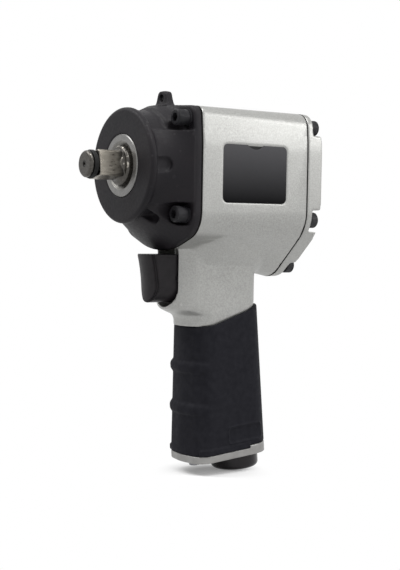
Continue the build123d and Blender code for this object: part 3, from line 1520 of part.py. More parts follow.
with BuildPart() as end_plate_screw:
    with BuildSketch(grip_plane.offset(-end_plate_thick)):
        with Locations((end_screw_spot, 0)):
            Circle(end_screw_head_radius)
    extrude(amount=-end_screw_head)
    fillet(end_plate_screw.edges().filter_by(GeomType.CIRCLE).sort_by(Axis.Z)[0], edge_break)
    with BuildSketch(grip_plane.offset(-end_plate_thick)):
        with Locations((end_screw_spot, 0)):
            Circle(end_screw_radius)
    extrude(amount=end_plate_thick + end_screw_length - edge_break)
    with BuildSketch(grip_plane.offset(-end_plate_thick - end_screw_head)):
        with Locations((end_screw_spot, 0)):
            Rectangle(2 * edge_break, 2 * end_screw_head_radius)
            Rectangle(2 * end_screw_radius, 2 * edge_break)
    extrude(amount=2 * edge_break, mode=Mode.SUBTRACT)
end_plate_screw.part.label = "end_plate_screw"
export_step(end_plate_screw.part, "parts/end_plate_screw.step")

# Felt block in the exhaust chamber
with BuildPart() as exhaust_muffler:
    with BuildSketch(grip_plane.offset(loose_gap)):
        with Locations(((exhaust_back + exhaust_front) / 2, 0)):
            RectangleRounded(
                exhaust_front - exhaust_back - 2 * running_fit,
                2 * exhaust_half_width - 2 * running_fit,
                exhaust_corner_radius,
            )
    extrude(amount=muffler_length)
exhaust_muffler.part.label = "exhaust_muffler"
export_step(exhaust_muffler.part, "parts/exhaust_muffler.step")

# Air inlet, threaded for a hose fitting, with its screen and seal
inlet_end = -end_plate_thick - inlet_drop
screen_seat = inlet_end + inlet_thread_depth + screen_thick
screen_radius = inlet_thread_radius - screen_step
groove_radius = inlet_spigot_radius - 2 * inlet_seal_wire
with BuildPart() as air_inlet:
    with BuildSketch(grip_plane.offset(-end_plate_thick)):
        Circle(inlet_radius)
    extrude(amount=-inlet_drop)
    fillet(air_inlet.edges().filter_by(GeomType.CIRCLE).sort_by(Axis.Z)[0], inlet_edge_radius)
    with BuildSketch(grip_plane.offset(-end_plate_thick)):
        Circle(inlet_spigot_radius)
    extrude(amount=end_plate_thick + inlet_spigot_length)
    with BuildSketch(grip_plane.offset(inlet_seal_height)):
        Circle(inlet_spigot_radius)
        Circle(groove_radius, mode=Mode.SUBTRACT)
    extrude(amount=2 * inlet_seal_wire, mode=Mode.SUBTRACT)
    with BuildSketch(grip_plane.offset(inlet_end)):
        Circle(inlet_thread_radius)
    extrude(amount=inlet_thread_depth, mode=Mode.SUBTRACT)
    with BuildSketch(grip_plane.offset(inlet_end)):
        Circle(screen_radius)
    extrude(amount=inlet_thread_depth + screen_thick, mode=Mode.SUBTRACT)
    with BuildSketch(grip_plane.offset(inlet_end)):
        Circle(screen_radius - screen_ledge)
    extrude(amount=2 * inlet_spigot_length + inlet_drop, mode=Mode.SUBTRACT)
air_inlet.part.label = "air_inlet"
export_step(air_inlet.part, "parts/air_inlet.step")

with BuildPart() as inlet_screen:
    with BuildSketch(grip_plane.offset(screen_seat)):
        Circle(screen_radius - press_gap)
        with HexLocations(screen_pitch / 2, 5, 5):
            Circle(screen_hole_radius, mode=Mode.SUBTRACT)
    extrude(amount=-screen_thick)
inlet_screen.part.label = "inlet_screen"
export_step(inlet_screen.part, "parts/inlet_screen.step")

with BuildPart() as inlet_seal:
    with BuildSketch(side_plane):
        with Locations((groove_radius + inlet_seal_wire, inlet_seal_height + inlet_seal_wire)):
            Circle(inlet_seal_wire - running_fit)
    revolve(axis=Axis(grip_plane.origin, grip_plane.z_dir))
inlet_seal.part.label = "inlet_seal"
export_step(inlet_seal.part, "parts/inlet_seal.step")
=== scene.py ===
import json
import math

import bmesh
import bpy
import numpy as np
from mathutils import Matrix, Vector
from mathutils.bvhtree import BVHTree
from mathutils.kdtree import KDTree


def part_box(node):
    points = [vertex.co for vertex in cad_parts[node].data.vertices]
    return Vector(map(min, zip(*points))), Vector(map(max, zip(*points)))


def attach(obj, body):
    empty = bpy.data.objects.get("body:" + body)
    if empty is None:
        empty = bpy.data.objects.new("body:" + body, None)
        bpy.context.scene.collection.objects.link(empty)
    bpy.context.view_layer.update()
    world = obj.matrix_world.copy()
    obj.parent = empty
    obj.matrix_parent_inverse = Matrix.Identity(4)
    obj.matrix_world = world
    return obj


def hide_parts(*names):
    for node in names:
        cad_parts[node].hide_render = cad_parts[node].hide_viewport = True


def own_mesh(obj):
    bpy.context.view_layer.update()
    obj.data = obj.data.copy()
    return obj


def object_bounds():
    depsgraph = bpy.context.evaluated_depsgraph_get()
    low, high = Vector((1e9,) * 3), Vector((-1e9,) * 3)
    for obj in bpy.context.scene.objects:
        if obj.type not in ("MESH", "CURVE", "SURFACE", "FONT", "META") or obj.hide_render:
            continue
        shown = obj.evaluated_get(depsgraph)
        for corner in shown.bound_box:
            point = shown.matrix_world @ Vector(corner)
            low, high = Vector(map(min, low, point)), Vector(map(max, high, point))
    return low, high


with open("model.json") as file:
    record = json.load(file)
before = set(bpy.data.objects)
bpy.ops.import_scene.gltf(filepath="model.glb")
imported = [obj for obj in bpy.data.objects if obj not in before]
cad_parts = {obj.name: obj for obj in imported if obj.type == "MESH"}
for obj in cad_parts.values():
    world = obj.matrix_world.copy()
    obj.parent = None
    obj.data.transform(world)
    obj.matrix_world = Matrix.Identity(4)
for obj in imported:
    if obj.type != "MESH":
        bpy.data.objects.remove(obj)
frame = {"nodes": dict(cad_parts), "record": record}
cad_low, cad_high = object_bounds()

# Air impact wrench. +X leaves the nose along the spindle, +Y is the tool's left side, +Z is up.
# Sizes below are in millimetres unless a comment says metres. MM turns them into the scene's metres.
MM = 0.001
WHITE = (1.0, 1.0, 1.0, 1.0)

scene = bpy.context.scene
scene.view_settings.view_transform = "Standard"

record = frame["record"]
body_of_node = {node: body for body, nodes in record["behaviour"]["bodies"].items() for node in nodes}
slot_of_node = {name: node.material_slots[0].material.name.split(".")[0]
                for name, node in frame["nodes"].items()}
mounts = {mount["name"]: mount for mount in record["mounts"]}


# Studio: camera, lamps, world and floor
CAMERA_PLACE = (305.596, 517.889, -28.179)
CAMERA_YAW, CAMERA_PITCH, CAMERA_ROLL = 34.47, 2.82, 0.95
CAMERA_LENS = 77.5
SENSOR_HEIGHT = 36.0
ROOM_LIGHT = 0.22
FLOOR_LIFT = 0.20
PAPER_GREY = 0.82
SHADOW_MIDDLE = (-56.0, 6.0)
SHADOW_REACH = (10.0, 32.0)
# Half the floor's side in metres, and each lamp's place and side in metres with its power in watts
FLOOR_HALF_SIDE = 4.0
LAMPS = {
    "overhead_box": ((0.0, 0.44, 0.84), 0.60, 7.0),
    "side_box": ((-0.45, 0.43, 0.20), 0.24, 0.95),
    "front_box": ((0.36, -0.26, 0.52), 0.35, 2.5),
}


def studio_camera():
    """Camera at the photograph's place, looking at the nose and the left side."""
    yaw, pitch, roll = (math.radians(angle) for angle in (CAMERA_YAW, CAMERA_PITCH, CAMERA_ROLL))
    back = Vector((math.sin(yaw) * math.cos(pitch), math.cos(yaw) * math.cos(pitch), math.sin(pitch)))
    level = Vector((-math.cos(yaw), math.sin(yaw), 0))
    rise = back.cross(level)
    right = math.cos(roll) * level + math.sin(roll) * rise
    up = math.cos(roll) * rise - math.sin(roll) * level
    data = bpy.data.cameras.new("studio_camera")
    data.sensor_fit = "VERTICAL"
    data.sensor_height = SENSOR_HEIGHT
    data.lens = CAMERA_LENS
    camera = bpy.data.objects.new("studio_camera", data)
    scene.collection.objects.link(camera)
    turn = Matrix((right, up, back)).transposed().to_4x4()
    camera.matrix_world = Matrix.Translation(Vector(CAMERA_PLACE) * MM) @ turn
    scene.camera = camera


def soft_box(name, place, target, size, power):
    """Square studio lamp at a place in metres, turned to a target."""
    data = bpy.data.lights.new(name, "AREA")
    data.shape = "SQUARE"
    data.size = size
    data.energy = power
    lamp = bpy.data.objects.new(name, data)
    scene.collection.objects.link(lamp)
    aim = (Vector(target) - Vector(place)).to_track_quat("-Z", "Y")
    lamp.matrix_world = Matrix.Translation(place) @ aim.to_matrix().to_4x4()


def studio_lamps():
    """All the lamps, turned to the middle of the tool."""
    middle = (cad_low + cad_high) / 2
    for name, (place, size, power) in LAMPS.items():
        soft_box(name, place, middle, size, power)


def seen_rays(tree):
    """1 for rays that the camera, a reflection or glass sends out."""
    path = tree.nodes.new("ShaderNodeLightPath")
    first = tree.nodes.new("ShaderNodeMath")
    first.operation = "MAXIMUM"
    tree.links.new(path.outputs["Is Camera Ray"], first.inputs[0])
    tree.links.new(path.outputs["Is Glossy Ray"], first.inputs[1])
    second = tree.nodes.new("ShaderNodeMath")
    second.operation = "MAXIMUM"
    tree.links.new(first.outputs[0], second.inputs[0])
    tree.links.new(path.outputs["Is Transmission Ray"], second.inputs[1])
    return second.outputs[0]


def mixed(tree, share, first, second):
    """Mix two shaders by a share."""
    mix = tree.nodes.new("ShaderNodeMixShader")
    tree.links.new(share, mix.inputs["Fac"])
    tree.links.new(first, mix.inputs[1])
    tree.links.new(second, mix.inputs[2])
    return mix.outputs[0]


def studio_world():
    """White room: full white where it is seen, a softer level as light."""
    world = bpy.data.worlds.new("white_studio")
    scene.world = world
    world.use_nodes = True
    tree = world.node_tree
    tree.nodes.clear()
    lights = []
    for strength in (ROOM_LIGHT, 1.0):
        light = tree.nodes.new("ShaderNodeBackground")
        light.inputs["Color"].default_value = WHITE
        light.inputs["Strength"].default_value = strength
        lights.append(light.outputs[0])
    out = tree.nodes.new("ShaderNodeOutputWorld")
    tree.links.new(mixed(tree, seen_rays(tree), *lights), out.inputs["Surface"])


def white_paper():
    """Floor finish: it keeps the shadow round the handle and runs out to plain white."""
    paper = bpy.data.materials.new("white_paper")
    paper.use_nodes = True
    tree = paper.node_tree
    tree.nodes.clear()
    sheet = tree.nodes.new("ShaderNodeBsdfDiffuse")
    sheet.inputs["Color"].default_value = (PAPER_GREY, PAPER_GREY, PAPER_GREY, 1)
    glows = []
    for strength in (FLOOR_LIFT, 1.0):
        glow = tree.nodes.new("ShaderNodeEmission")
        glow.inputs["Color"].default_value = WHITE
        glow.inputs["Strength"].default_value = strength
        glows.append(glow.outputs[0])
    lifted = tree.nodes.new("ShaderNodeAddShader")
    tree.links.new(sheet.outputs[0], lifted.inputs[0])
    tree.links.new(glows[0], lifted.inputs[1])
    place = tree.nodes.new("ShaderNodeTexCoord")
    away = tree.nodes.new("ShaderNodeVectorMath")
    away.operation = "DISTANCE"
    away.inputs[1].default_value = (SHADOW_MIDDLE[0] * MM, SHADOW_MIDDLE[1] * MM, cad_low.z)
    tree.links.new(place.outputs["Object"], away.inputs[0])
    far = tree.nodes.new("ShaderNodeMapRange")
    far.interpolation_type = "SMOOTHSTEP"
    far.inputs["From Min"].default_value = SHADOW_REACH[0] * MM
    far.inputs["From Max"].default_value = SHADOW_REACH[1] * MM
    tree.links.new(away.outputs["Value"], far.inputs["Value"])
    seen = mixed(tree, far.outputs["Result"], lifted.outputs[0], glows[1])
    out = tree.nodes.new("ShaderNodeOutputMaterial")
    tree.links.new(mixed(tree, seen_rays(tree), sheet.outputs[0], seen), out.inputs["Surface"])
    return paper


def studio_floor():
    """White floor at the tool's lowest point."""
    side = FLOOR_HALF_SIDE
    corners = [(-side, -side), (side, -side), (side, side), (-side, side)]
    mesh = bpy.data.meshes.new("studio_floor")
    mesh.from_pydata([(x, y, cad_low.z) for x, y in corners], [], [(0, 1, 2, 3)])
    mesh.materials.append(white_paper())
    floor = bpy.data.objects.new("studio_floor", mesh)
    scene.collection.objects.link(floor)


# Finishes. Each reads Object coordinates, so its grain has a real size on every piece.
# A wave texture's phase is 20 radians per unit of scaled length.
WAVE_RADIANS = 20
# Inputs and output of a mix node that hold colours
MIX_FIRST, MIX_SECOND, MIX_RESULT = 6, 7, 2
# Clouds of colour and of gloss, as multiples of a plain finish's grain
CLOUD_SIZE, GLOSS_SIZE = 9, 5


class Finish:
    """One material: colour, gloss and surface grain from nodes."""

    def __init__(self, name, metallic=0.0, specular=0.5):
        self.material = bpy.data.materials.new(name)
        self.material.use_nodes = True
        self.tree = self.material.node_tree
        self.shader = self.tree.nodes["Principled BSDF"]
        self.shader.inputs["Metallic"].default_value = metallic
        self.shader.inputs["Specular IOR Level"].default_value = specular
        self.place = self.tree.nodes.new("ShaderNodeTexCoord").outputs["Object"]

    def noise(self, size, detail=2.0, stretch=None):
        """Cloudy noise whose features are about this many millimetres across."""
        node = self.tree.nodes.new("ShaderNodeTexNoise")
        node.inputs["Scale"].default_value = 1 / (size * MM)
        node.inputs["Detail"].default_value = detail
        source = self.place
        if stretch:
            mapping = self.tree.nodes.new("ShaderNodeMapping")
            mapping.inputs["Scale"].default_value = stretch
            self.tree.links.new(source, mapping.inputs["Vector"])
            source = mapping.outputs["Vector"]
        self.tree.links.new(source, node.inputs["Vector"])
        return node.outputs["Fac"]

    def rings(self, pitch, distortion=0.6):
        """Fine turning marks round the spindle."""
        node = self.tree.nodes.new("ShaderNodeTexWave")
        node.wave_type = "RINGS"
        node.rings_direction = "X"
        node.inputs["Scale"].default_value = 2 * math.pi / (pitch * MM * WAVE_RADIANS)
        node.inputs["Distortion"].default_value = distortion
        node.inputs["Detail"].default_value = 2.0
        self.tree.links.new(self.place, node.inputs["Vector"])
        return node.outputs["Fac"]

    def height(self, axis, low, high):
        """0 to 1 between two places in millimetres along X, Y or Z."""
        split = self.tree.nodes.new("ShaderNodeSeparateXYZ")
        self.tree.links.new(self.place, split.inputs[0])
        return self.between(split.outputs[axis], 0, 1, edge=(low * MM, high * MM))

    def reach(self, low, high):
        """0 to 1 between two radii in millimetres round the spindle."""
        across = self.tree.nodes.new("ShaderNodeVectorMath")
        across.operation = "MULTIPLY"
        across.inputs[1].default_value = (0, 1, 1)
        self.tree.links.new(self.place, across.inputs[0])
        length = self.tree.nodes.new("ShaderNodeVectorMath")
        length.operation = "LENGTH"
        self.tree.links.new(across.outputs[0], length.inputs[0])
        return self.between(length.outputs["Value"], 0, 1, edge=(low * MM, high * MM))

    def edges(self, low=0.52, high=0.60):
        """0 to 1 on the outer edges of a dense mesh, where a finish wears first and where a painted
        highlight goes.
        """
        shape = self.tree.nodes.new("ShaderNodeNewGeometry")
        return self.between(shape.outputs["Pointiness"], 0, 1, edge=(low, high))

    def between(self, fac, low, high, edge=(0.3, 0.7)):
        """Map part of a pattern's range to two values."""
        node = self.tree.nodes.new("ShaderNodeMapRange")
        node.inputs["From Min"].default_value = edge[0]
        node.inputs["From Max"].default_value = edge[1]
        node.inputs["To Min"].default_value = low
        node.inputs["To Max"].default_value = high
        self.tree.links.new(fac, node.inputs["Value"])
        return node.outputs["Result"]

    def blend(self, fac, dark, light):
        """Mix two colours by a pattern."""
        node = self.tree.nodes.new("ShaderNodeMix")
        node.data_type = "RGBA"
        for socket, colour in ((MIX_FIRST, dark), (MIX_SECOND, light)):
            if isinstance(colour, tuple):
                node.inputs[socket].default_value = (*colour, 1)
            else:
                self.tree.links.new(colour, node.inputs[socket])
        self.tree.links.new(fac, node.inputs[0])
        return node.outputs[MIX_RESULT]

    def times(self, first, second):
        """Product of two patterns."""
        node = self.tree.nodes.new("ShaderNodeMath")
        node.operation = "MULTIPLY"
        self.tree.links.new(first, node.inputs[0])
        self.tree.links.new(second, node.inputs[1])
        return node.outputs[0]

    def colour(self, value):
        self.tree.links.new(value, self.shader.inputs["Base Color"])

    def rough(self, value):
        self.tree.links.new(value, self.shader.inputs["Roughness"])

    def relief(self, *layers):
        """Stack bumps, each a pattern with its height in millimetres."""
        normal = None
        for fac, height in layers:
            bump = self.tree.nodes.new("ShaderNodeBump")
            bump.inputs["Strength"].default_value = 1.0
            bump.inputs["Distance"].default_value = height * MM
            self.tree.links.new(fac, bump.inputs["Height"])
            if normal:
                self.tree.links.new(normal, bump.inputs["Normal"])
            normal = bump.outputs["Normal"]
        self.tree.links.new(normal, self.shader.inputs["Normal"])


def plain_finish(name, dark, light, rough, grain, height, metallic=0.0, specular=0.5):
    """Finish with cloudy colour, uneven gloss and one grain of bumps."""
    finish = Finish(name, metallic, specular)
    finish.colour(finish.blend(finish.between(finish.noise(grain * CLOUD_SIZE), 0, 1), dark, light))
    finish.rough(finish.between(finish.noise(grain * GLOSS_SIZE), rough[0], rough[1]))
    finish.relief((finish.noise(grain), height))
    return finish.material


def silver_paint():
    """Satin silver paint over cast aluminium, with a fine bright speckle and lighter edges for wear and
    painted highlight.
    """
    finish = Finish("silver_paint", metallic=0.60, specular=0.4)
    cloud = finish.between(finish.noise(22.0), 0, 1)
    base = finish.blend(cloud, (0.315, 0.315, 0.302), (0.345, 0.345, 0.332))
    grain = finish.between(finish.noise(0.7, detail=3.0), 0, 1, edge=(0.36, 0.66))
    speckled = finish.blend(grain, base, (0.41, 0.41, 0.396))
    # Lighter edges: partly wear, partly painted highlight on the rounded edges
    edge_wear_and_highlight = finish.between(finish.edges(), 0, 0.35, edge=(0, 1))
    finish.colour(finish.blend(edge_wear_and_highlight, speckled, (0.60, 0.60, 0.585)))
    finish.rough(finish.between(finish.noise(0.8), 0.34, 0.42))
    finish.relief((finish.noise(0.8, detail=3.0), 0.024), (finish.noise(7.0), 0.03))
    return finish.material


def case_coat():
    """Black coat of the hammer case: bluish with brown clouds, paler on the edges for rubbing and painted
    highlight.
    """
    finish = Finish("case_coat", specular=0.18)
    cloud = finish.between(finish.noise(16.0, detail=3.0), 0, 1)
    base = finish.blend(cloud, (0.0085, 0.0078, 0.0100), (0.0130, 0.0110, 0.0132))
    # Paler edges: partly rubbed coat, partly painted highlight
    edge_wear_and_highlight = finish.times(finish.edges(), finish.between(finish.noise(2.5), 0.2, 0.8))
    finish.colour(finish.blend(edge_wear_and_highlight, base, (0.034, 0.031, 0.034)))
    finish.rough(finish.between(finish.noise(1.2), 0.46, 0.60))
    finish.relief((finish.noise(0.5, detail=3.0), 0.018))
    return finish.material


def label_gloss():
    """Glossy label plate, shaded from dark grey above to black below."""
    low, high = (corner.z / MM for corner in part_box("left_label_plate"))
    finish = Finish("label_gloss", specular=0.07)
    shade = finish.height("Z", low, high)
    finish.colour(finish.blend(shade, (0.0010, 0.0010, 0.0015), (0.086, 0.085, 0.090)))
    finish.rough(finish.between(finish.noise(4.0), 0.16, 0.22))
    finish.relief((finish.noise(9.0), 0.01))
    return finish.material


def turned_steel(name, dark, light, rough, pitch):
    """Steel with turning marks."""
    finish = Finish(name, metallic=1.0)
    rings = finish.rings(pitch)
    finish.colour(finish.blend(finish.between(finish.noise(3.0), 0, 1), dark, light))
    finish.rough(finish.between(rings, rough[0], rough[1], edge=(0, 1)))
    finish.relief((rings, 0.005), (finish.noise(0.5), 0.004))
    return finish.material


def drive_steel():
    """Square drive: ground flats and a darker tip, with painted shade at the root and in the centre hole,
    and pale edges for socket scuffs and painted highlight.
    """
    finish = Finish("drive_steel", metallic=1.0)
    grain = finish.between(finish.noise(1.1, detail=3.0, stretch=(0.25, 1, 1)), 0, 1)
    flats = finish.blend(grain, (0.30, 0.275, 0.235), (0.43, 0.40, 0.345))
    front = finish.height("X", 13.6, 12.6)
    # Near the root the flats fade to the dark colour: painted shade of the inside corner
    root = finish.height("X", 1.2, 4.6)
    bright = finish.times(front, root)
    dark = finish.blend(grain, (0.058, 0.055, 0.050), (0.098, 0.092, 0.085))
    shade = finish.blend(bright, dark, flats)
    # Pale edges: scuffs from sockets, and partly painted highlight
    edge_wear_and_highlight = finish.times(finish.edges(), finish.between(finish.noise(1.5), 0.3, 1.0))
    scuffed_and_highlit = finish.blend(edge_wear_and_highlight, shade, (0.48, 0.45, 0.40))
    # Painted shade: the centre hole in the tip is coloured near black
    centre_hole_shade = finish.times(finish.reach(1.9, 1.4), finish.height("X", 12.0, 12.4))
    finish.colour(finish.blend(centre_hole_shade, scuffed_and_highlit, (0.012, 0.011, 0.010)))
    finish.rough(finish.between(finish.noise(0.9, stretch=(0.3, 1, 1)), 0.24, 0.42))
    finish.relief((finish.noise(0.6, stretch=(0.2, 1, 1)), 0.008))
    return finish.material


def ring_steel():
    """Turned nose ring: pale rim, and a darker dish that is painted shade of the recess."""
    finish = Finish("ring_steel", metallic=0.75)
    rings = finish.rings(0.5)
    cloud = finish.between(finish.noise(2.2), 0, 1)
    dish = finish.blend(cloud, (0.168, 0.163, 0.152), (0.208, 0.202, 0.187))
    rim = finish.blend(cloud, (0.188, 0.185, 0.180), (0.230, 0.226, 0.220))
    # The dish's darker colour is painted shade of the recess
    finish.colour(finish.blend(finish.reach(11.4, 12.6), dish, rim))
    finish.rough(finish.between(rings, 0.26, 0.40, edge=(0, 1)))
    finish.relief((rings, 0.006), (finish.noise(0.6), 0.004))
    return finish.material


finishes = {
    "housing_grey": silver_paint(),
    "case_black": case_coat(),
    "grip_rubber": plain_finish("grip_rubber", (0.0140, 0.0140, 0.0178), (0.0195, 0.0195, 0.0240),
                                (0.52, 0.66), 0.35, 0.02, specular=0.05),
    "trigger_black": plain_finish("trigger_plastic", (0.013, 0.0115, 0.013), (0.019, 0.0165, 0.0185),
                                  (0.36, 0.46), 0.4, 0.008, specular=0.16),
    "label_black": label_gloss(),
    "bright_steel": drive_steel(),
    "ring_steel": ring_steel(),
    "tool_steel": turned_steel("tool_steel", (0.20, 0.20, 0.21), (0.30, 0.30, 0.31),
                               (0.32, 0.45), 0.4),
    "black_bolt": plain_finish("black_oxide", (0.012, 0.012, 0.014), (0.024, 0.023, 0.026),
                               (0.32, 0.46), 0.4, 0.01, specular=0.16),
    "bare_aluminium": plain_finish("bare_aluminium", (0.265, 0.26, 0.252), (0.32, 0.316, 0.308),
                                   (0.36, 0.50), 0.6, 0.012, metallic=0.8),
    "inlet_black": plain_finish("inlet_black", (0.011, 0.009, 0.011), (0.016, 0.013, 0.015),
                                (0.16, 0.22), 1.2, 0.003, specular=0.26),
    "bearing_steel": turned_steel("bearing_steel", (0.52, 0.52, 0.54), (0.62, 0.62, 0.64),
                                  (0.12, 0.2), 0.4),
    "valve_brass": turned_steel("valve_brass", (0.50, 0.36, 0.14), (0.60, 0.46, 0.21),
                                (0.24, 0.36), 0.4),
    "vane_composite": plain_finish("vane_composite", (0.16, 0.10, 0.06), (0.24, 0.16, 0.10),
                                   (0.55, 0.7), 0.3, 0.03),
    "seal_rubber": plain_finish("seal_rubber", (0.008, 0.008, 0.008), (0.014, 0.014, 0.014),
                                (0.55, 0.7), 0.3, 0.01, specular=0.25),
    "gasket_fibre": plain_finish("gasket_fibre", (0.010, 0.010, 0.009), (0.020, 0.019, 0.018),
                                 (0.7, 0.85), 0.3, 0.03, specular=0.15),
    "muffler_felt": plain_finish("muffler_felt", (0.34, 0.32, 0.29), (0.48, 0.46, 0.42),
                                 (0.85, 0.95), 0.3, 0.15),
    "knob_black": plain_finish("knob_plastic", (0.010, 0.010, 0.011), (0.016, 0.015, 0.017),
                               (0.4, 0.52), 0.4, 0.012, specular=0.28),
}


def paint_frame():
    """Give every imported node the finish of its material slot; the trigger's pin is blackened."""
    for name, node in frame["nodes"].items():
        for slot in node.material_slots:
            slot.material = finishes["black_bolt" if name == "trigger_pin" else slot_of_node[name]]


# Cast and moulded pieces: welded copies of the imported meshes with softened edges
WELD_GAP = 0.002
SHARP_ANGLE = 28
EDGE_STEP, CORNER_STEP = 0.3, 0.5
RELAX_LEVELS, RELAX_FACTOR = 20, 0.5
BLEND_SPREAD, BLEND_LEAST = 1.25, 0.02
FULL_KEEP = 0.999


def welded(node):
    """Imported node's mesh with its loose corners joined."""
    work = bmesh.new()
    work.from_mesh(frame["nodes"][node].data)
    bmesh.ops.remove_doubles(work, verts=work.verts, dist=WELD_GAP * MM)
    return work


def new_piece(name, mesh):
    piece = bpy.data.objects.new(name, mesh)
    scene.collection.objects.link(piece)
    return piece


def bake_modifiers(piece):
    """Replace the mesh with what the modifiers make of it."""
    graph = bpy.context.evaluated_depsgraph_get()
    mesh = bpy.data.meshes.new_from_object(piece.evaluated_get(graph))
    piece.modifiers.clear()
    piece.data = mesh


def points_of(mesh):
    """All points of a mesh, one per row."""
    spots = np.empty(len(mesh.vertices) * 3, np.float32)
    mesh.vertices.foreach_get("co", spots)
    return spots.reshape(-1, 3)


def set_points(mesh, spots):
    mesh.vertices.foreach_set("co", np.asarray(spots, np.float32).ravel())
    mesh.update()


def tree_of(points):
    """Tree that finds the nearest of some points."""
    tree = KDTree(len(points))
    for index, point in enumerate(points):
        tree.insert(point, index)
    tree.balance()
    return tree


def ease(values):
    """Smooth step from 0 to 1."""
    clipped = np.clip(values, 0, 1)
    return clipped * clipped * (3 - 2 * clipped)


def distances(tree, spots):
    """Distance of each spot from the nearest point in a tree."""
    return np.array([tree.find(spot)[2] for spot in spots])


def sharp_points(work, angle, spacing, hollow=None):
    """Points along every edge that turns by more than an angle, or only along hollow or outer ones."""
    points = []
    for edge in work.edges:
        if len(edge.link_faces) != 2 or edge.calc_face_angle(0) < math.radians(angle):
            continue
        if hollow is not None and hollow == (edge.calc_face_angle_signed(0) > 0):
            continue
        first, last = (corner.co for corner in edge.verts)
        steps = max(1, math.ceil((last - first).length / (spacing * MM)))
        points += [first.lerp(last, step / steps) for step in range(steps + 1)]
    return points


def corner_points(node, hollow, low, high):
    """Points along a node's hollow or outer corners inside a box in millimetres."""
    work = welded(node)
    points = sharp_points(work, SHARP_ANGLE, CORNER_STEP, hollow)
    work.free()
    return [point for point in points
            if all(low[axis] * MM <= point[axis] <= high[axis] * MM for axis in range(3))]


def smooth_by(piece, weights, rounds):
    """Relax the mesh where the weights say."""
    group = piece.vertex_groups.new(name="relax")
    levels = np.round(weights * RELAX_LEVELS).astype(int)
    for level in range(1, RELAX_LEVELS + 1):
        chosen = np.nonzero(levels == level)[0].tolist()
        if chosen:
            group.add(chosen, level / RELAX_LEVELS, "REPLACE")
    relax = piece.modifiers.new("relax", "SMOOTH")
    relax.factor = RELAX_FACTOR
    relax.iterations = rounds
    relax.vertex_group = group.name
    bake_modifiers(piece)
    piece.vertex_groups.clear()


def soft_casting(node, name, voxel, rounds, reach, faces, blends=(), press=None):
    """Copy of a node with rounded edges: fine voxels, relaxed, then set back on the true faces.

    The relaxed shape stays up to the first reach from a sharp edge, and is gone at the second. Each blend
    relaxes more along chosen points, and either only fills (1) or only rounds off (-1). Press is a
    function that works fine relief into the points. At the end the mesh is thinned to about these faces.
    """
    work = welded(node)
    surface = BVHTree.FromBMesh(work)
    edges = tree_of(sharp_points(work, SHARP_ANGLE, EDGE_STEP))
    mesh = bpy.data.meshes.new(name)
    work.to_mesh(mesh)
    work.free()
    piece = new_piece(name, mesh)
    remesh = piece.modifiers.new("voxels", "REMESH")
    remesh.mode = "VOXEL"
    remesh.voxel_size = voxel * MM
    bake_modifiers(piece)
    spots = points_of(piece.data)
    keep = 1 - ease((distances(edges, spots) / MM - reach[0]) / (reach[1] - reach[0]))
    smooth_by(piece, np.ones(len(spots)), rounds)
    spots = points_of(piece.data)
    for index in np.nonzero(keep < FULL_KEEP)[0]:
        spot = Vector(spots[index])
        spots[index] = surface.find_nearest(spot)[0].lerp(spot, keep[index])
    for points, width, blend_rounds, way in blends:
        set_points(piece.data, spots)
        share = ease(BLEND_SPREAD - distances(tree_of(points), spots) / (width * MM))
        smooth_by(piece, share, blend_rounds)
        relaxed = points_of(piece.data)
        for index in np.nonzero(share > BLEND_LEAST)[0]:
            spot = Vector(relaxed[index])
            nearest, normal = surface.find_nearest(spot)[:2]
            if way * (spot - nearest).dot(normal) > 0:
                spots[index] = spot
    if press:
        spots = press(spots / MM) * MM
    set_points(piece.data, spots)
    thin = piece.modifiers.new("thin", "DECIMATE")
    triangles = 2 * len(piece.data.polygons)
    thin.ratio = min(1.0, faces / triangles)
    bake_modifiers(piece)
    piece.data.shade_smooth()
    return piece


def finish_piece(piece, body, slot, finish=None):
    """Paint a new piece and let it ride on a body."""
    piece.data.materials.clear()
    piece.data.materials.append(finish or finishes[slot])
    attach(piece, body)


def stand_in(piece, node):
    """Put a finished piece in a node's place."""
    finish_piece(piece, body_of_node[node], slot_of_node[node])
    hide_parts(node)


# Neck of the housing: its outline in plan, the hollow round it, and where its soft blends run
NECK_FRONT, NECK_BACK, NECK_SIDE = -26.3, -78.2, 14.3
NECK_FRONT_ROUND, NECK_BACK_ROUND = 14.2, 9.0
# Width and depth of the hollow at its front and back, and the places along X between which they change
HOLLOW_FRONT, HOLLOW_BACK = (14.0, 6.5), (4.5, 4.5)
HOLLOW_CHANGE = (-44.0, -74.0)
# The hollow fades towards the front and ends there. A power of 1 is a flat chamfer, and 2 a full round.
HOLLOW_END, HOLLOW_FADE = -32.6, 13.0
HOLLOW_POWER, HOLLOW_SKIN = 1.35, 0.4
# Distance from the neck where the underside's height is read, and the heights it can have
ROOF_FOOT, ROOF_LOWEST, ROOF_HIGHEST = 1.8, -66.0, -30.0
# Heights down the chin, each with its step back from the neck's front
CHIN_PROFILE = ((-68.4, 0), (-70.8, 1.6), (-72.6, 5.6), (-74.0, 9.2), (-76.2, 11.1))
CHIN_STEPS = 20
SLOT_HALF = 8


def neck_gap(spots):
    """Distance outside the neck's outline in plan, and the direction out of it."""
    ahead = spots[:, 0] > NECK_FRONT - NECK_FRONT_ROUND
    radius = np.where(ahead, NECK_FRONT_ROUND, NECK_BACK_ROUND)
    centre = np.where(ahead, NECK_FRONT - NECK_FRONT_ROUND, NECK_BACK + NECK_BACK_ROUND)
    way = np.where(ahead, 1, -1)
    onward = np.maximum((spots[:, 0] - centre) * way, 0)
    sideways = np.maximum(np.abs(spots[:, 1]) - (NECK_SIDE - radius), 0)
    reach = np.maximum(np.hypot(onward, sideways), 1e-6)
    out = np.stack([way * onward / reach, np.sign(spots[:, 1]) * sideways / reach, np.zeros(len(spots))], 1)
    return reach - radius, out


def neck_hollow(along):
    """Width and depth of the hollow beside the neck: wide in front, and narrower towards the keel."""
    front, back = HOLLOW_CHANGE
    share = ease((along - back) / (front - back))
    return [end + (start - end) * share for start, end in zip(HOLLOW_FRONT, HOLLOW_BACK)]


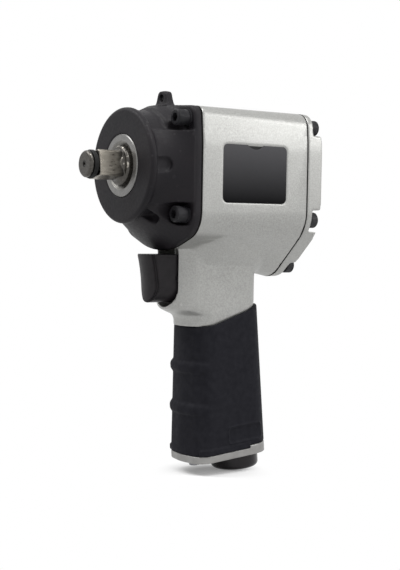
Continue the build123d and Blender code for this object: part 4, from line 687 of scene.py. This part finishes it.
def press_neck(spots):
    """Round hollow between the neck and the underside of the body."""
    work = welded("motor_housing")
    surface = BVHTree.FromBMesh(work)
    work.free()
    gap, out = neck_gap(spots)
    foot_along = spots[:, 0] - gap * out[:, 0]
    widths, depths = neck_hollow(foot_along)
    fade = ease((HOLLOW_END - foot_along) / HOLLOW_FADE)
    spots = spots.copy()
    in_height = (spots[:, 2] > ROOF_LOWEST) & (spots[:, 2] < ROOF_HIGHEST)
    near = in_height & (fade > 0) & (gap > -HOLLOW_SKIN) & (gap < widths * fade)
    for index in np.nonzero(near)[0]:
        foot = spots[index] - gap[index] * out[index]
        heights = []
        for away in (ROOF_FOOT, widths[index]):
            start = foot + away * out[index]
            hit = surface.ray_cast(Vector((start[0], start[1], ROOF_LOWEST)) * MM, Vector((0, 0, 1)))[0]
            heights.append(hit.z / MM if hit else 0)
        slope = (heights[0] - heights[1]) / (widths[index] - ROOF_FOOT)
        width, depth = widths[index] * fade[index], depths[index] * fade[index]
        drop = heights[0] + (ROOF_FOOT - gap[index]) * slope - spots[index, 2]
        beside, below = 1 - max(gap[index], 0) / width, 1 - max(drop, 0) / depth
        if max(heights) < ROOF_HIGHEST and drop > -HOLLOW_SKIN and beside > 0 and below > 0:
            size = (beside ** HOLLOW_POWER + below ** HOLLOW_POWER) ** (1 / HOLLOW_POWER)
            if size > 1:
                new_gap = width * (1 - beside / size)
                spots[index] = foot + new_gap * out[index]
                spots[index, 2] = heights[0] + (ROOF_FOOT - new_gap) * slope - depth * (1 - below / size)
    return spots


def chin_points():
    """Points over the step below the trigger, where the neck draws in to its waist."""
    points = []
    for height, step_back in CHIN_PROFILE:
        for step in range(-CHIN_STEPS, CHIN_STEPS + 1):
            turn = math.radians(90 * step / CHIN_STEPS)
            points.append(Vector((NECK_FRONT - step_back - NECK_FRONT_ROUND * (1 - math.cos(turn)),
                                  NECK_SIDE * math.sin(turn), height)) * MM)
    return points


# Case: the radius where its flare leaves the barrel, and its ear, which spreads at the foot
FLARE_EDGE, FLARE_BAND = 29.0, 0.4
EAR_MIDDLE, EAR_FOOT, EAR_SPREAD, EAR_FADE = 2.3, 30.2, 1.3, 1.2
EAR_SKIN, EAR_CORE, EAR_REACH, EAR_SOFT = 0.4, 1.9, 9, 2.5


def press_ear(spots):
    """Spread the foot of the ear sideways into the top of the case."""
    beside = spots[:, 1] - EAR_MIDDLE
    away, above = np.abs(beside), np.maximum(spots[:, 2] - EAR_FOOT, 0)
    on_ear = (spots[:, 2] > EAR_FOOT - EAR_SKIN) & (away > EAR_CORE) & (away < EAR_REACH)
    spread = EAR_SPREAD * np.exp(-above / EAR_FADE) * ease((EAR_REACH - away) / EAR_SOFT)
    spots = spots.copy()
    spots[on_ear, 1] += (np.sign(beside) * spread)[on_ear]
    return spots


# Rubber sleeve: a moulded tab at its foot and a raised border round its plain panel
GRIP_FOOT_ABOVE_INLET = 6.6
FOOT_CORNER = (23.1, 8.0)
TAB_FRONT, TAB_BACK, TAB_HEIGHT, TAB_PROUD = 30.4, 0.5, 3.4, 0.8
PANEL_MIDDLE, PANEL_HALF, PANEL_ROUND = (3.4, 8.4), (10.0, 3.8), 1.6
BORDER_WIDTH, BORDER_PROUD = 0.5, 0.45
RELIEF_SOFT, FOOT_SKIN = 0.3, 0.2
# Points nearer the middle of the section than this belong to the bore and stay
OUTER_START, OUTER_SOFT = 5.6, 0.8


def grip_frame():
    """Foot of the grip and its forward and upward directions, in millimetres."""
    up = -np.array(mounts["air_inlet"]["axis"])
    foot = np.array(mounts["air_inlet"]["pos_m"]) / MM + GRIP_FOOT_ABOVE_INLET * up
    forward = np.array((up[2], 0, -up[0]))
    return foot, forward, up


def press_sleeve(spots):
    """Raise the foot tab and the panel's border on both sides."""
    foot, forward, up = grip_frame()
    along, above = (spots - foot) @ forward, (spots - foot) @ up
    tab = (ease((along - TAB_BACK) / RELIEF_SOFT) * ease((TAB_FRONT - along) / RELIEF_SOFT)
           * ease((TAB_HEIGHT - above) / RELIEF_SOFT) * ease((above + FOOT_SKIN) / RELIEF_SOFT))
    onward = np.maximum(along - FOOT_CORNER[0], 0)
    sideways = np.maximum(np.abs(spots[:, 1]) - FOOT_CORNER[1], 1e-3)
    turn = np.hypot(onward, sideways)
    corner_x = np.abs(along - PANEL_MIDDLE[0]) - (PANEL_HALF[0] - PANEL_ROUND)
    corner_z = np.abs(above - PANEL_MIDDLE[1]) - (PANEL_HALF[1] - PANEL_ROUND)
    outside = (np.hypot(np.maximum(corner_x, 0), np.maximum(corner_z, 0))
               + np.minimum(np.maximum(corner_x, corner_z), 0))
    border = np.exp(-((outside - PANEL_ROUND - BORDER_WIDTH) / BORDER_WIDTH) ** 2)
    outer = ease((turn - OUTER_START) / OUTER_SOFT)
    lift = outer * np.maximum(TAB_PROUD * tab, BORDER_PROUD * border)
    spots = spots + (lift * onward / turn)[:, None] * forward
    spots[:, 1] += np.sign(spots[:, 1]) * lift * sideways / turn
    return spots


# Trigger: a moulded groove down the corners of the finger face
TRIGGER_AXIS = -34.0
GROOVE_AHEAD, GROOVE_WIDTH, GROOVE_DEPTH = 0.4, 0.5, 1.1
GROOVE_BACKWARD, GROOVE_SIDEWAYS = 0.6, 0.8
SIDE_DEPTH, SIDE_SOFT = 2.4, 1.2
LEVEL_HEIGHT = 0.5


def press_trigger(spots):
    """Groove on both sides that follows the hollow of the finger face."""
    levels, index = np.unique(np.round(spots[:, 2] / LEVEL_HEIGHT), return_inverse=True)
    front, width = np.full(len(levels), -np.inf), np.zeros(len(levels))
    np.maximum.at(front, index, spots[:, 0])
    np.maximum.at(width, index, np.abs(spots[:, 1]))
    reach, half = front[index] - TRIGGER_AXIS, width[index]
    corner = TRIGGER_AXIS + np.sqrt(np.maximum(reach ** 2 - half ** 2, 0))
    outer = ease((np.abs(spots[:, 1]) - half + SIDE_DEPTH) / SIDE_SOFT)
    groove = GROOVE_DEPTH * outer * np.exp(-((spots[:, 0] - corner - GROOVE_AHEAD) / GROOVE_WIDTH) ** 2)
    backward = np.full(len(spots), -GROOVE_BACKWARD)
    inward = np.stack([backward, -GROOVE_SIDEWAYS * np.sign(spots[:, 1]), np.zeros(len(spots))], 1)
    return spots + groove[:, None] * inward


# Square drive: a round root between the flats and the shoulder
ROOT_RADIUS, ROOT_TOP, ROOT_SKIN = 2.6, 9.0, 0.3


def press_drive(spots):
    """Bring the points of the inside corner out onto the round of the root."""
    reach = np.hypot(spots[:, 1], spots[:, 2])
    across, along = reach - ROOT_TOP, spots[:, 0] - ROOT_RADIUS
    gap = np.hypot(across, along)
    inside = (spots[:, 0] > -ROOT_SKIN) & (along < 0) & (across < 0) & (gap > ROOT_RADIUS)
    scale = ROOT_RADIUS / gap[inside]
    new_reach = ROOT_TOP + across[inside] * scale
    spots = spots.copy()
    spots[inside, 0] = ROOT_RADIUS + along[inside] * scale
    spots[inside, 1:] *= (new_reach / reach[inside])[:, None]
    return spots


# Label plates: flat panels with rounded corners and a half-round notch above
LABEL_ROUND, LABEL_EDGE, LABEL_STEPS = 2.6, 0.18, 8
NOTCH_WIDTH, NOTCH_DEPTH, NOTCH_STEPS = 9.6, 2.1, 16
NOTCH_FLOOR, NOTCH_EDGE = 0.25, 0.06


def arc(centre, radius, start, end, steps):
    """Points of an arc in the plane of a label, angles in degrees."""
    turns = [math.radians(start + (end - start) * step / steps) for step in range(steps + 1)]
    return [(centre[0] + radius * math.cos(turn), centre[1] + radius * math.sin(turn)) for turn in turns]


def notch_arc(middle, top):
    """Half-round notch, from its right end to its left end."""
    radius = (NOTCH_WIDTH ** 2 / 4 + NOTCH_DEPTH ** 2) / (2 * NOTCH_DEPTH)
    spread = math.degrees(math.asin(NOTCH_WIDTH / 2 / radius))
    return arc((middle, top - NOTCH_DEPTH + radius), radius, -90 + spread, -90 - spread, NOTCH_STEPS)


def flat_plate(name, outline, outer, thick, side, edge):
    """Closed plate from an outline in XZ, with its outer edge broken."""
    work = bmesh.new()
    ring = [work.verts.new((x * MM, outer * MM, z * MM)) for x, z in outline]
    face = work.faces.new(ring)
    grown = bmesh.ops.extrude_face_region(work, geom=[face])
    moved = [item for item in grown["geom"] if isinstance(item, bmesh.types.BMVert)]
    bmesh.ops.translate(work, verts=moved, vec=(0, -side * thick * MM, 0))
    bmesh.ops.recalc_face_normals(work, faces=work.faces)
    rim = [item for item in work.edges if all(abs(end.co.y - outer * MM) < 1e-6 for end in item.verts)]
    bmesh.ops.bevel(work, geom=rim, offset=edge * MM, segments=2, profile=0.5, affect="EDGES")
    bmesh.ops.triangulate(work, faces=[item for item in work.faces if len(item.verts) > 4])
    mesh = bpy.data.meshes.new(name)
    work.to_mesh(mesh)
    work.free()
    return new_piece(name, mesh)


def label_panel(node, side, name):
    """Bevelled label plate, and a dull black floor under its notch that stands in as painted shade of the
    recess.
    """
    low, high = (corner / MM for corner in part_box(node))
    middle = (low.x + high.x) / 2
    outer = high.y if side > 0 else low.y
    corners = ((low.x, low.z, 180), (high.x, low.z, 270), (high.x, high.z, 0), (low.x, high.z, 90))
    outline = []
    for x, z, start in corners:
        centre = (x + LABEL_ROUND * (1 if x == low.x else -1), z + LABEL_ROUND * (1 if z == low.z else -1))
        if start == 90:
            outline += notch_arc(middle, high.z)
        outline += arc(centre, LABEL_ROUND, start, start + 90, LABEL_STEPS)
    thick = high.y - low.y
    stand_in(flat_plate(name, outline, outer, thick, side, LABEL_EDGE), node)
    # The black floor under the notch is painted shade of the recess
    floor_face = outer - side * (thick - NOTCH_FLOOR)
    floor = flat_plate(name + "_notch_shade", notch_arc(middle, high.z), floor_face, NOTCH_FLOOR, side,
                       NOTCH_EDGE)
    finish_piece(floor, body_of_node[node], "label_black", finishes["seal_rubber"])


def throttle_coil():
    """Coil behind the throttle valve: a welded, smoothly shaded copy that takes the spring's place."""
    work = welded("throttle_spring")
    mesh = bpy.data.meshes.new("throttle_coil")
    work.to_mesh(mesh)
    work.free()
    mesh.shade_smooth()
    coil = new_piece("throttle_coil", mesh)
    stand_in(coil, "throttle_spring")
    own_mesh(coil)


# Repeats grown by Geometry Nodes
RIB_COUNT, RIB_WIDTH, RIB_SIDES = 40, 0.42, 5
SCREW_HEAD, KNURL_INSET, KNURL_MARGIN = 5.0, 0.12, 1.2
FLUTE_COUNT, FLUTE_WIDTH = 28, 0.9
KNOB_RIM, FLUTE_INSET, FLUTE_MARGIN = 4.0, 0.25, 1.6
THREAD_PITCH, THREAD_TURNS, THREAD_RIDGE, THREAD_START = 1.34, 6.5, 0.45, 1.0
HELIX_STEPS, RIDGE_SIDES = 48, 4


def grower(name, sockets):
    """Empty node tree with named inputs, and its input and output nodes."""
    tree = bpy.data.node_groups.new(name, "GeometryNodeTree")
    tree.interface.new_socket("Geometry", in_out="INPUT", socket_type="NodeSocketGeometry")
    for label, kind in sockets.items():
        tree.interface.new_socket(label, in_out="INPUT", socket_type="NodeSocket" + kind)
    tree.interface.new_socket("Geometry", in_out="OUTPUT", socket_type="NodeSocketGeometry")
    return tree, tree.nodes.new("NodeGroupInput").outputs, tree.nodes.new("NodeGroupOutput").inputs


def add_node(tree, kind, **inputs):
    """Node whose inputs are linked sockets or plain values, by their names."""
    node = tree.nodes.new(kind)
    for label, value in inputs.items():
        socket = node.inputs[label.replace("_", " ")]
        if isinstance(value, bpy.types.NodeSocket):
            tree.links.new(value, socket)
        else:
            socket.default_value = value
    return node


def closing_nodes(tree, instances, finish, out):
    """Turn the instances into real mesh with its finish."""
    real = add_node(tree, "GeometryNodeRealizeInstances", Geometry=instances)
    painted = add_node(tree, "GeometryNodeSetMaterial", Geometry=real.outputs[0], Material=finish)
    tree.links.new(painted.outputs[0], out["Geometry"])


def rib_ring_tree():
    """A ring of thin ribs round the spindle's direction, on every point of the mesh it is given."""
    tree, given, out = grower("rib_ring", {
        "Ring Radius": "Float", "Rib Count": "Int", "Rib Width": "Float", "Rib Length": "Float",
        "Finish": "Material"})
    circle = add_node(tree, "GeometryNodeMeshCircle", Vertices=given["Rib Count"],
                      Radius=given["Ring Radius"])
    half = add_node(tree, "ShaderNodeMath")
    half.operation = "MULTIPLY"
    tree.links.new(given["Rib Width"], half.inputs[0])
    half.inputs[1].default_value = 0.5
    rib = add_node(tree, "GeometryNodeMeshCylinder", Vertices=RIB_SIDES, Radius=half.outputs[0],
                   Depth=given["Rib Length"])
    ring = add_node(tree, "GeometryNodeInstanceOnPoints", Points=circle.outputs[0],
                    Instance=rib.outputs["Mesh"])
    whole = add_node(tree, "GeometryNodeRealizeInstances", Geometry=ring.outputs[0])
    turned = add_node(tree, "GeometryNodeInstanceOnPoints", Points=given["Geometry"],
                      Instance=whole.outputs[0], Rotation=(0, math.radians(90), 0))
    closing_nodes(tree, turned.outputs[0], given["Finish"], out)
    return tree


def thread_tree():
    """One ridge wound as a helix up the Z axis."""
    tree, given, out = grower("thread_ridge", {
        "Thread Radius": "Float", "Thread Height": "Float", "Turns": "Float", "Ridge": "Float",
        "Finish": "Material"})
    helix = add_node(tree, "GeometryNodeCurveSpiral", Resolution=HELIX_STEPS, Rotations=given["Turns"],
                     Start_Radius=given["Thread Radius"], End_Radius=given["Thread Radius"],
                     Height=given["Thread Height"])
    profile = add_node(tree, "GeometryNodeCurvePrimitiveCircle", Resolution=RIDGE_SIDES,
                       Radius=given["Ridge"])
    ridge = add_node(tree, "GeometryNodeCurveToMesh", Curve=helix.outputs[0],
                     Profile_Curve=profile.outputs[0], Fill_Caps=True)
    closing_nodes(tree, ridge.outputs[0], given["Finish"], out)
    return tree


def grow(name, points, tree, **values):
    """Run a tree on loose points in millimetres and keep the result as a plain mesh."""
    mesh = bpy.data.meshes.new(name)
    mesh.from_pydata([Vector(point) * MM for point in points], [], [])
    piece = new_piece(name, mesh)
    modifier = piece.modifiers.new("grow", "NODES")
    modifier.node_group = tree
    inputs = [item for item in tree.interface.items_tree if item.in_out == "INPUT"]
    identifiers = {item.name: item.identifier for item in inputs}
    for label, value in values.items():
        modifier[identifiers[label.replace("_", " ")]] = value
    bake_modifiers(piece)
    return piece


def solids_of(node):
    """Box of each separate solid in a node, as lowest and highest corners in millimetres."""
    work = welded(node)
    waiting, boxes = set(work.verts), []
    while waiting:
        group, to_visit = [], [waiting.pop()]
        while to_visit:
            vert = to_visit.pop()
            group.append(vert.co / MM)
            for edge in vert.link_edges:
                other = edge.other_vert(vert)
                if other in waiting:
                    waiting.remove(other)
                    to_visit.append(other)
        spots = np.array(group)
        boxes.append((spots.min(0), spots.max(0)))
    work.free()
    return boxes


def screw_knurls(ribs):
    """Knurl on the heads of all the flange and cap screws."""
    centres = []
    for node, head_side in (("front_bolts", 1), ("rear_bolts", -1)):
        for low, high in solids_of(node):
            top = high[0] if head_side > 0 else low[0]
            middle = (low + high) / 2
            centres.append((top - head_side * SCREW_HEAD / 2, middle[1], middle[2]))
            radius = (high[1] - low[1]) / 2
    knurl = grow("screw_head_knurl", centres, ribs, Ring_Radius=(radius - KNURL_INSET) * MM,
                 Rib_Count=RIB_COUNT, Rib_Width=RIB_WIDTH * MM,
                 Rib_Length=(SCREW_HEAD - KNURL_MARGIN) * MM, Finish=finishes["black_bolt"])
    finish_piece(knurl, "housing", "black_bolt")


def knob_flutes(ribs):
    """Flutes round the rim of the reversing knob."""
    low, high = (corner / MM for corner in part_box("reverse_knob"))
    radius = (high.y - low.y) / 2
    centre = (high.x - KNOB_RIM / 2, (low.y + high.y) / 2, (low.z + high.z) / 2)
    flutes = grow("knob_flutes", [centre], ribs, Ring_Radius=(radius - FLUTE_INSET) * MM,
                  Rib_Count=FLUTE_COUNT, Rib_Width=FLUTE_WIDTH * MM,
                  Rib_Length=(KNOB_RIM - FLUTE_MARGIN) * MM, Finish=finishes["knob_black"])
    finish_piece(flutes, body_of_node["reverse_knob"], "knob_black")


def inlet_thread():
    """Pipe thread in the mouth of the air inlet."""
    mount = mounts["air_inlet"]
    length = THREAD_PITCH * THREAD_TURNS
    ridge = grow("inlet_thread", [], thread_tree(), Thread_Radius=mount["dims"]["r_mm"] * MM,
                 Thread_Height=length * MM, Turns=THREAD_TURNS, Ridge=THREAD_RIDGE * MM,
                 Finish=finishes["inlet_black"])
    out_of_mouth = Vector(mount["axis"])
    turn = (-out_of_mouth).to_track_quat("Z", "Y").to_matrix().to_4x4()
    start = Vector(mount["pos_m"]) + out_of_mouth * (mount["dims"]["length_mm"] / 2 - THREAD_START) * MM
    ridge.data.transform(Matrix.Translation(start) @ turn)
    finish_piece(ridge, body_of_node["air_inlet"], "inlet_black")


studio_camera()
studio_lamps()
studio_world()
studio_floor()
paint_frame()

# Castings and mouldings. Each blend gives its points, its width, its rounds and its way.
slot_corners = corner_points("motor_housing", hollow=False, low=(-40, -15, -66), high=(-25, 15, -43))
slot_sides = [point for point in slot_corners if abs(point.y) > SLOT_HALF * MM]
housing = soft_casting("motor_housing", "housing_casting", voxel=0.5, rounds=6, reach=(0.7, 1.6),
                       faces=190000, press=press_neck,
                       blends=((chin_points(), 3.0, 24, 1),
                               (chin_points(), 3.0, 24, -1),
                               (slot_sides, 1.6, 12, -1)))
stand_in(housing, "motor_housing")

case_corners = corner_points("hammer_case", hollow=True, low=(-60, -40, -45), high=(0, 40, 45))
rim_corners = corner_points("hammer_case", hollow=False, low=(-16, -34, -34), high=(-14.5, 34, 34))
flare_edge = [point for point in rim_corners
              if abs(math.hypot(point.y, point.z) - FLARE_EDGE * MM) < FLARE_BAND * MM]
case = soft_casting("hammer_case", "hammer_case_casting", voxel=0.4, rounds=14, reach=(1.1, 2.4),
                    faces=130000, press=press_ear,
                    blends=((case_corners, 2.4, 30, 1),
                            (flare_edge, 3.0, 40, -1),
                            (flare_edge, 3.0, 40, 1)))
stand_in(case, "hammer_case")

cap_corners = corner_points("rear_cap", hollow=True, low=(-110, -40, -60), high=(-80, 40, 45))
cap = soft_casting("rear_cap", "rear_cap_casting", voxel=0.4, rounds=26, reach=(1.5, 3.0), faces=80000,
                   blends=((cap_corners, 2.0, 16, 1),))
stand_in(cap, "rear_cap")

sleeve = soft_casting("grip_sleeve", "grip_sleeve_rubber", voxel=0.45, rounds=8, reach=(0.8, 2.0),
                      faces=150000, press=press_sleeve)
stand_in(sleeve, "grip_sleeve")
trigger = soft_casting("trigger", "trigger_moulding", voxel=0.22, rounds=4, reach=(0.5, 1.1), faces=60000,
                       press=press_trigger)
stand_in(trigger, "trigger")
anvil = soft_casting("anvil", "square_drive_anvil", voxel=0.3, rounds=3, reach=(0.4, 0.9), faces=90000,
                     press=press_drive)
stand_in(anvil, "anvil")
end_plate = soft_casting("handle_end_plate", "end_plate_casting", voxel=0.35, rounds=4, reach=(0.5, 1.1),
                         faces=60000)
stand_in(end_plate, "handle_end_plate")

label_panel("left_label_plate", 1, "left_label_panel")
label_panel("right_label_plate", -1, "right_label_panel")
throttle_coil()
rib_rings = rib_ring_tree()
screw_knurls(rib_rings)
knob_flutes(rib_rings)
inlet_thread()
